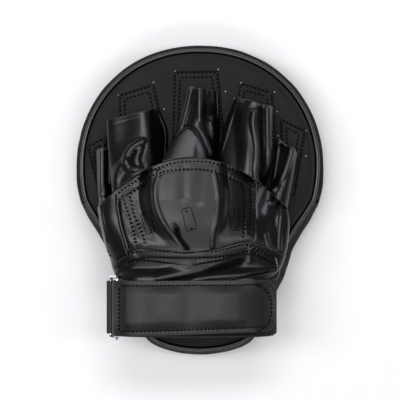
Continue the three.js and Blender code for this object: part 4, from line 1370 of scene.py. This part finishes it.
THREAD_ENDS = [
    (118, 94.6), (153, 82), (163.6, 108.5), (174.6, 70.7), (217.6, 69), (225, 91), (240.6, 82.2),
    (274, 91.5), (276.6, 111), (234, 98), (277.6, 135.3), (305.7, 130), (305.3, 155.5),
    (84.5, 146), (95.4, 156.6),
]
SIDE_KNOTS = [(83.5, 206), (317, 201), (291, 253), (282, 274), (107.7, 251), (109.5, 255)]
PALE_TAILS = [
    [(275, 257), (276.3, 262), (277, 268)],
    [(315.5, 206), (316.3, 213), (316, 220)],
]
side_tree = surface_tree(band_upper, band_lower, strike_face, edge_cord, cuff, gusset_left, gusset_right)
# Pitch and length in pixels, and the radius
TAIL_STITCHES = (2.4, 1.8, 0.3 * MM)
THREAD_END = 0.65 * MM
SIDE_KNOT = 1.2 * MM
light_thread = ThreadMesh()
for run in PALE_TAILS:
    light_thread.run(side_tree, curved(run), *TAIL_STITCHES)
light_thread.knots(pad_tree, THREAD_ENDS, THREAD_END)
dark_thread.knots(side_tree, SIDE_KNOTS, SIDE_KNOT)
thread_dark = dark_thread.build("stitches_dark", "glove_leather")
thread_light = light_thread.build("stitches_ends", "pad_leather")


# Materials
def socket(node, name, value):
    node.inputs[name].default_value = value


# Lighter colour painted on sharp convex edges: partly edge wear, partly a painted highlight where the cut
# leather edges catch the light
EDGE_WEAR_AND_HIGHLIGHT_COLOUR = (0.1, 0.1, 0.11, 1)
EDGE_LIGHT_FROM = 0.53
EDGE_LIGHT_TO = 0.62


class Look:
    """A material, with each node made, set and joined in one call."""

    def __init__(self, name, values):
        self.material = bpy.data.materials.new(name)
        self.material.use_nodes = True
        self.tree = self.material.node_tree
        self.shader = self.tree.nodes["Principled BSDF"]
        for key, value in values.items():
            socket(self.shader, key, value)

    def join(self, node, links):
        for key, output in links.items():
            self.tree.links.new(output, node.inputs[key])

    def node(self, kind, values, links):
        node = self.tree.nodes.new("ShaderNode" + kind)
        for key, value in values.items():
            socket(node, key, value)
        self.join(node, links)
        return node

    def place(self):
        return {"Vector": self.node("TexCoord", {}, {}).outputs["Object"]}

    def tint(self, colour, low, high, share):
        """The colour, darker or lighter by a pattern."""
        shades = {1: (*[c * low for c in colour], 1), 2: (*[c * high for c in colour], 1)}
        return self.node("MixRGB", shades, {0: share}).outputs[0]

    def bump(self, strength, distance, height, links=None):
        values = {"Strength": strength, "Distance": distance}
        return self.node("Bump", values, {"Height": height, **(links or {})}).outputs["Normal"]


def leather_material(name, colour, roughness, grain, bump, coat, wrinkle, shine, wear_and_sheen=0.0):
    look = Look(name, {"Specular IOR Level": shine, "Coat Weight": coat, "Coat Roughness": 0.22})
    place = look.place()
    patchy = look.node("TexNoise", {"Scale": 38, "Detail": 4}, place).outputs["Fac"]
    tint = look.tint(colour, 0.75, 1.3, patchy)
    edges = look.node("NewGeometry", {}, {})
    # Convex edges mix towards the lighter colour: partly wear, partly painted highlight
    limits = {"From Min": EDGE_LIGHT_FROM, "From Max": EDGE_LIGHT_TO, "To Max": wear_and_sheen}
    worn_and_lit_edges = look.node("MapRange", limits, {"Value": edges.outputs["Pointiness"]})
    rubbed_and_lit = look.node("MixRGB", {2: EDGE_WEAR_AND_HIGHLIGHT_COLOUR}, {0: worn_and_lit_edges.outputs["Result"], 1: tint})
    limits = {"From Min": 0.3, "From Max": 0.7, "To Min": roughness * 0.88, "To Max": roughness * 1.14}
    rough = look.node("MapRange", limits, {"Value": patchy})
    cells = look.node("TexVoronoi", {"Scale": 1 / grain}, place)
    fine = look.bump(bump, 0.0002, cells.outputs["Distance"])
    creases = look.node("TexNoise", {"Scale": 120, "Detail": 5, "Distortion": 0.6}, place)
    broad = look.bump(wrinkle, 0.0012, creases.outputs["Fac"], {"Normal": fine})
    look.join(look.shader, {"Base Color": rubbed_and_lit.outputs[0], "Roughness": rough.outputs["Result"],
                            "Normal": broad})
    return look.material


def thread_material(name, colour, roughness, shine):
    look = Look(name, {"Roughness": roughness, "Specular IOR Level": shine})
    twist = look.node("TexWave", {"Scale": 900, "Distortion": 1.5}, look.place()).outputs["Fac"]
    tint = look.tint(colour, 0.6, 1, twist)
    look.join(look.shader, {"Base Color": tint, "Normal": look.bump(0.4, 0.0001, twist)})
    return look.material


def fabric_material(name, colour):
    look = Look(name, {"Roughness": 0.95, "Specular IOR Level": 0.12, "Sheen Weight": 0.08})
    fuzz = look.node("TexNoise", {"Scale": 1500, "Detail": 6, "Distortion": 2}, look.place()).outputs["Fac"]
    tint = look.tint(colour, 0.4, 1.8, fuzz)
    look.join(look.shader, {"Base Color": tint, "Normal": look.bump(1, 0.0008, fuzz)})
    return look.material


def metal_material(name):
    look = Look(name, {"Base Color": (0.78, 0.78, 0.8, 1), "Metallic": 1})
    wear_and_sheen = look.node("TexNoise", {"Scale": 300, "Detail": 5}, look.place()).outputs["Fac"]
    rough = look.node("MapRange", {"To Min": 0.12, "To Max": 0.34}, {"Value": wear_and_sheen})
    look.join(look.shader, {"Roughness": rough.outputs["Result"]})
    return look.material


def dress(obj, material):
    obj.data.materials.clear()
    obj.data.materials.append(material)


PAD_COLOUR = (0.0032, 0.003, 0.0046)
SIDE_COLOUR = (0.003, 0.0029, 0.0037)
GLOVE_COLOUR = (0.0023, 0.0021, 0.0032)
STRAP_COLOUR = (0.005, 0.0037, 0.0052)
LOOP_COLOUR = (0.006, 0.0058, 0.0068)
FOAM_COLOUR = (0.03, 0.03, 0.032)
DARK_THREAD_COLOUR = (0.002, 0.002, 0.0025)
LIGHT_THREAD_COLOUR = (0.6, 0.6, 0.64)
# Colour, roughness, grain in metres, bump, coat, wrinkle, shine and edge lightening of each leather; the edge
# lightening is partly wear and partly a painted highlight on the edges
pad_leather = leather_material("pad_leather_look", PAD_COLOUR, 0.42, 0.0009, 0.6, 0.0, 0.12, 0.125)
side_leather = leather_material("side_leather_look", SIDE_COLOUR, 0.6, 0.0009, 0.35, 0.0, 0.08, 0.015)
glove_leather = leather_material("glove_leather_look", GLOVE_COLOUR, 0.3, 0.0007, 0.25, 0.14, 0.15, 0.3, 0.8)
strap_leather = leather_material("strap_leather_look", STRAP_COLOUR, 0.36, 0.0006, 0.8, 0.0, 0.12, 0.4, 0.5)
lower_side_leather = leather_material(
    "lower_side_leather_look", SIDE_COLOUR, 0.5, 0.0009, 0.35, 0.0, 0.08, 0.022)
cord_leather = leather_material("cord_leather_look", GLOVE_COLOUR, 0.3, 0.0007, 0.2, 0.25, 0.08, 0.5)
strap_look = fabric_material("loop_fabric_look", LOOP_COLOUR)
ring_metal = metal_material("ring_metal_look")
foam_look = fabric_material("foam_look", FOAM_COLOUR)
dark_thread_look = thread_material("dark_thread_look", DARK_THREAD_COLOUR, 0.6, 0.03)
light_thread_look = thread_material("light_thread_look", LIGHT_THREAD_COLOUR, 0.6, 0.3)

for obj in (back_panel, *patches):
    dress(obj, pad_leather)
for obj in (strike_face, band_upper):
    dress(obj, side_leather)
for obj in (hand_back, gusset_left, gusset_right, cuff, *stalls.values()):
    dress(obj, glove_leather)
for obj in (strap_over, ring_tab):
    dress(obj, strap_leather)
dress(edge_cord, cord_leather)
dress(band_lower, lower_side_leather)
dress(strap_under, strap_look)
dress(strap_ring, ring_metal)
dress(thread_dark, dark_thread_look)
dress(thread_light, light_thread_look)
dress(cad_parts["foam_core"], foam_look)

# Floor and light
FLOOR_HALF = 4
FLOOR_DROP = 0.0004
FLOOR_CORNERS = ((-1, -1), (1, -1), (1, 1), (-1, 1))
corners = [(x * FLOOR_HALF, y * FLOOR_HALF, -FLOOR_DROP) for x, y in FLOOR_CORNERS]
floor = new_object("floor", corners, [(0, 1, 2, 3)])
FLOOR_VALUES = {"Base Color": (0.97, 0.97, 0.96, 1), "Roughness": 0.9, "Specular IOR Level": 0.1}
dress(floor, Look("floor_look", FLOOR_VALUES).material)

LIGHT_COLOUR = (0.97, 0.96, 1.0)
WORLD_COLOUR = (0.95, 0.97, 1, 1)
WORLD_STRENGTH = 0.19
SOFT_BOXES = [
    dict(name="above", at=(0.0, 0.0, 2.0), size=(1.3, 1.3), radiance=0.7),
    dict(name="left", at=(-0.62, 0.1, 1.5), size=(0.34, 0.9), radiance=9.4),
    dict(name="right", at=(0.66, 0.0, 1.5), size=(0.22, 0.9), radiance=7.5),
    dict(name="top", at=(0.0, 0.72, 1.5), size=(0.9, 0.3), radiance=9.4),
    dict(name="bottom", at=(0.0, -0.72, 1.5), size=(0.9, 0.26), radiance=6.2),
]
for box in SOFT_BOXES:
    data = bpy.data.lights.new("light_" + box["name"], "AREA")
    data.shape = "RECTANGLE"
    data.color = LIGHT_COLOUR
    data.size, data.size_y = box["size"]
    data.energy = box["radiance"] * math.pi * box["size"][0] * box["size"][1]
    lamp = bpy.data.objects.new("light_" + box["name"], data)
    bpy.context.scene.collection.objects.link(lamp)
    lamp.location = box["at"]
    lamp.rotation_euler = (-Vector(box["at"])).to_track_quat("-Z", "Y").to_euler()

world = bpy.data.worlds.new("studio")
world.use_nodes = True
background = world.node_tree.nodes["Background"]
socket(background, "Color", WORLD_COLOUR)
socket(background, "Strength", WORLD_STRENGTH)
bpy.context.scene.world = world
bpy.context.scene.view_settings.view_transform = "Standard"
